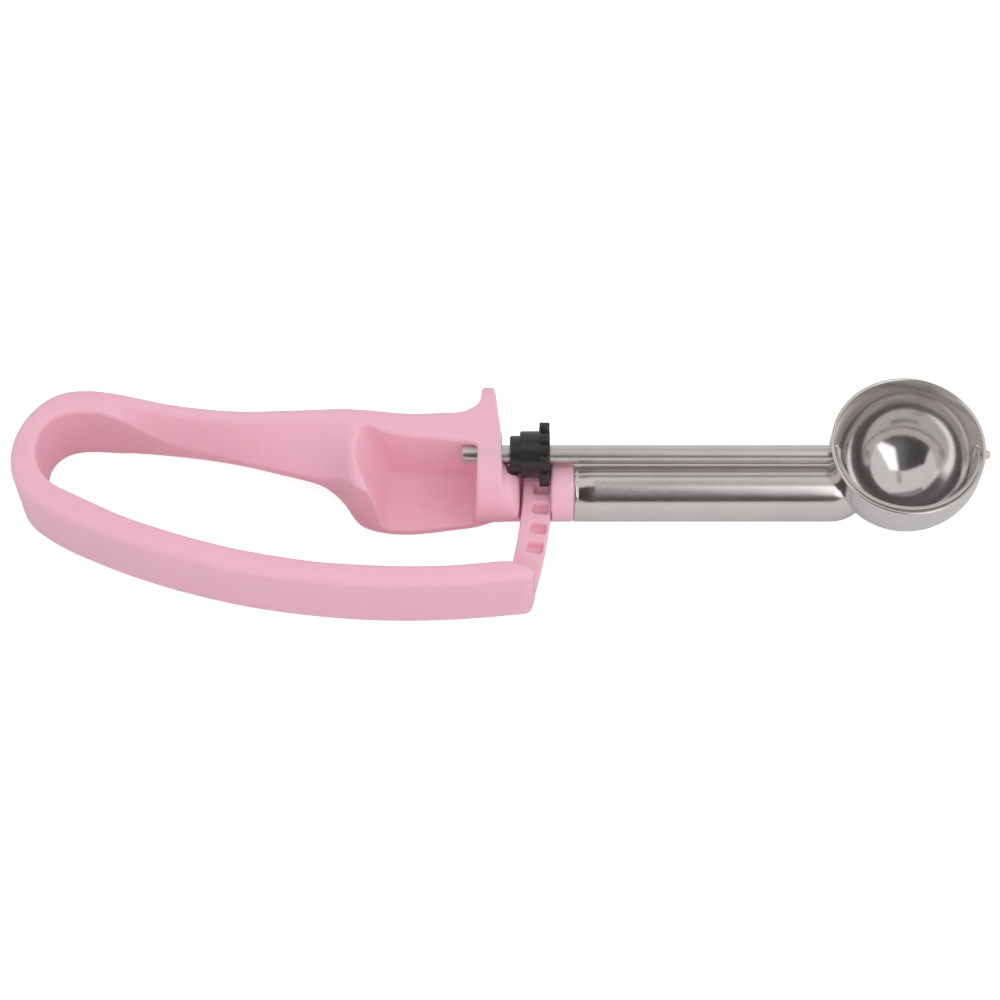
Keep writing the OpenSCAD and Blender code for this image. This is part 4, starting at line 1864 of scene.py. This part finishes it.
@dataclass
class Studio:
    """Floor, light and camera.

    Attributes:
        origin: where the drawing's zero is in the frame, in metres.
        elevation: how steeply the camera looks down, in degrees.
        distance: from the camera to its target, in millimetres.
        target: what the middle of the picture looks at, in millimetres.
        focal: focal length in millimetres on a 36 mm wide film.
        floor_glow: how strongly the camera sees the floor shine.
        floor_mirrored: how strongly mirrors see it shine.
        ambient: the even light from all round.
    """

    origin: Vector
    elevation: float = 63.4
    distance: float = 640.0
    target: Point = (-96.9, -12.06, 0.0)
    focal: float = 97.736
    floor_glow: float = 0.70
    floor_mirrored: float = 0.02
    ambient: float = 0.69

    def build(self) -> None:
        """Sets up the whole studio."""
        self._floor()
        self._sky()
        self._lamps()
        self._camera()

    def _floor(self) -> None:
        """Lays the pale floor, which stays white behind the object."""
        work = bmesh.new()
        bmesh.ops.create_grid(work, x_segments=1, y_segments=1, size=4.0)
        mesh = bpy.data.meshes.new("floor")
        work.to_mesh(mesh)
        work.free()
        floor = bpy.data.objects.new("floor", mesh)
        bpy.context.scene.collection.objects.link(floor)
        material, sheet, shader = start_material("pale_floor")
        noise = sheet.add("ShaderNodeTexNoise", in_Scale=6.0)
        tone = sheet.ramp(noise.outputs[0], [(0.3, (0.74, 0.74, 0.74)), (0.7, (0.76, 0.76, 0.76))])
        sheet.link(tone, shader.inputs["Base Color"])
        shader.inputs["Roughness"].default_value = 0.9
        shader.inputs["Specular IOR Level"].default_value = 0.1
        path = sheet.add("ShaderNodeLightPath")
        mirrored = sheet.math("MAXIMUM", path.outputs["Is Glossy Ray"], path.outputs["Is Transmission Ray"])
        seen = sheet.math("MULTIPLY", path.outputs["Is Camera Ray"], self.floor_glow)
        faint = sheet.math("MULTIPLY", mirrored, self.floor_mirrored)
        shader.inputs["Emission Color"].default_value = (1.0, 1.0, 1.0, 1.0)
        sheet.link(sheet.math("MAXIMUM", seen, faint), shader.inputs["Emission Strength"])
        floor.data.materials.append(material)

    def _side(self, sheet: NodeSheet, angles: Socket, line: Sequence[float]) -> Socket:
        """Marks the directions on one side of a straight line.

        Args:
            sheet: the world's sheet.
            angles: the direction as two angles in degrees and a one.
            line: the line, as a sky patch gives it.

        Returns:
            The mask.
        """
        along, across, limit, soft = line
        size = math.hypot(along, across)
        weights = (along / size, across / size, -limit / size)
        dot = sheet.add("ShaderNodeVectorMath", operation="DOT_PRODUCT", in_1=weights)
        sheet.link(angles, dot.inputs[0])
        step = sheet.add("ShaderNodeMapRange", interpolation_type="SMOOTHSTEP", in_1=-soft, in_2=soft)
        sheet.link(dot.outputs["Value"], step.inputs["Value"])
        return step.outputs[0]

    def _directions(self, sheet: NodeSheet) -> Socket:
        """Gives a direction's angle from the zenith to the front and to the right.

        Args:
            sheet: the world's sheet.

        Returns:
            The two angles in degrees, and a one.
        """
        degrees = 57.2958
        split = sheet.add("ShaderNodeSeparateXYZ")
        sheet.link(sheet.add("ShaderNodeTexCoord").outputs["Generated"], split.inputs[0])
        front = sheet.math("MULTIPLY", split.outputs[1], -1.0)
        forward = sheet.math("ARCTAN2", front, split.outputs[2])
        sideways = sheet.math("ARCSINE", split.outputs[0])
        angles = sheet.add("ShaderNodeCombineXYZ", in_2=1.0)
        sheet.link(sheet.math("MULTIPLY", forward, degrees), angles.inputs[0])
        sheet.link(sheet.math("MULTIPLY", sideways, degrees), angles.inputs[1])
        return angles.outputs[0]

    def _sky(self) -> None:
        """Lights the object evenly and hangs a pale tent round it for what mirrors.

        The tent has a darker strip in its roof, a dark seam behind the object,
        and on the viewer's side a dark opening with a soft glow and a bright
        panel in it.
        """
        world = bpy.data.worlds.new("studio")
        bpy.context.scene.world = world
        world.use_nodes = True
        sheet = NodeSheet(world.node_tree)
        back = world.node_tree.nodes["Background"]
        angles = self._directions(sheet)
        tent: object = TENT
        masks: dict[str, Socket] = {}
        for patch in PATCHES:
            sides = [self._side(sheet, angles, line) for line in patch.lines]
            mask = masks[patch.within] if patch.within else sides.pop(0)
            for side in sides:
                mask = sheet.math("MULTIPLY", mask, side)
            masks[patch.name] = mask
            tent = sheet.blend(sheet.math("MULTIPLY", mask, patch.cover), tent, patch.tone)
        path = sheet.add("ShaderNodeLightPath")
        even = (self.ambient, self.ambient, self.ambient)
        light = sheet.blend(path.outputs["Is Glossy Ray"], even, tent)
        seen = sheet.blend(path.outputs["Is Camera Ray"], light, (1.0, 1.0, 1.0))
        sheet.link(seen, back.inputs["Color"])
        back.inputs["Strength"].default_value = 1.0

    def _lamp(self, name: str, place: Point, size: float, power: float) -> None:
        """Hangs one square soft lamp that lights but isn't mirrored.

        Args:
            name: the lamp's name.
            place: its place in metres, aimed at the object.
            size: its side in metres.
            power: its power in watts.
        """
        data = bpy.data.lights.new(name, "AREA")
        data.size = size
        data.energy = power
        lamp = bpy.data.objects.new(name, data)
        lamp.location = place
        lamp.rotation_euler = (-Vector(place)).to_track_quat("-Z", "Y").to_euler()
        lamp.visible_glossy = False
        lamp.visible_camera = False
        bpy.context.scene.collection.objects.link(lamp)

    def _lamps(self) -> None:
        """Hangs the lamps."""
        self._lamp("overhead", (0.0, -0.35, 1.05), 1.1, 0.8)
        self._lamp("front_fill", (-0.1, -0.75, 0.8), 0.9, 1.1)
        self._lamp("side_fill", (0.75, -0.3, 0.7), 0.9, 2.2)

    def _camera(self) -> None:
        """Sets up the camera."""
        lift = math.radians(self.elevation)
        aim = self.origin + Vector(self.target) * MM
        away = Vector((0.0, -math.cos(lift), math.sin(lift)))
        data = bpy.data.cameras.new("camera")
        data.sensor_width = 36.0
        data.sensor_fit = "HORIZONTAL"
        data.lens = self.focal
        data.clip_start = 0.01
        data.clip_end = 20.0
        camera = bpy.data.objects.new("camera", data)
        there = Matrix.Translation(aim + away * self.distance * MM)
        camera.matrix_world = there @ away.to_track_quat("Z", "Y").to_matrix().to_4x4()
        bpy.context.scene.collection.objects.link(camera)
        bpy.context.scene.camera = camera


def main() -> None:
    """Builds the scoop's looks."""
    logging.basicConfig(level=logging.INFO, format="%(name)s: %(message)s")
    for old in list(bpy.data.objects):
        bpy.data.objects.remove(old)
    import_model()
    low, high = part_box("bowl")
    centre = Vector(((low.x + high.x) / 2, (low.y + high.y) / 2, low.z + Shank.bowl_r * MM))
    origin = centre - Vector((BOWL_X, 0.0, 0.0)) * MM
    log.info("zero at %s", [round(v * 1000, 3) for v in origin])
    shop = Workshop(origin)
    finishes = FinishRack(origin, centre)
    pieces = [
        HandleMoulding(shop).build(finishes.pink),
        RackTongue(shop).build(finishes.pink),
        Shank(shop).build(finishes.tube),
        Bowl(shop).build(finishes.bowl),
        *Spindle(shop).build(finishes.rod, finishes.blade, finishes.nylon),
    ]
    for piece in pieces:
        log.info("%s: %d faces", piece.name, len(piece.data.polygons))
    Studio(origin).build()
    bpy.context.scene.view_settings.view_transform = "Standard"


if __name__ == "__main__":
    main()
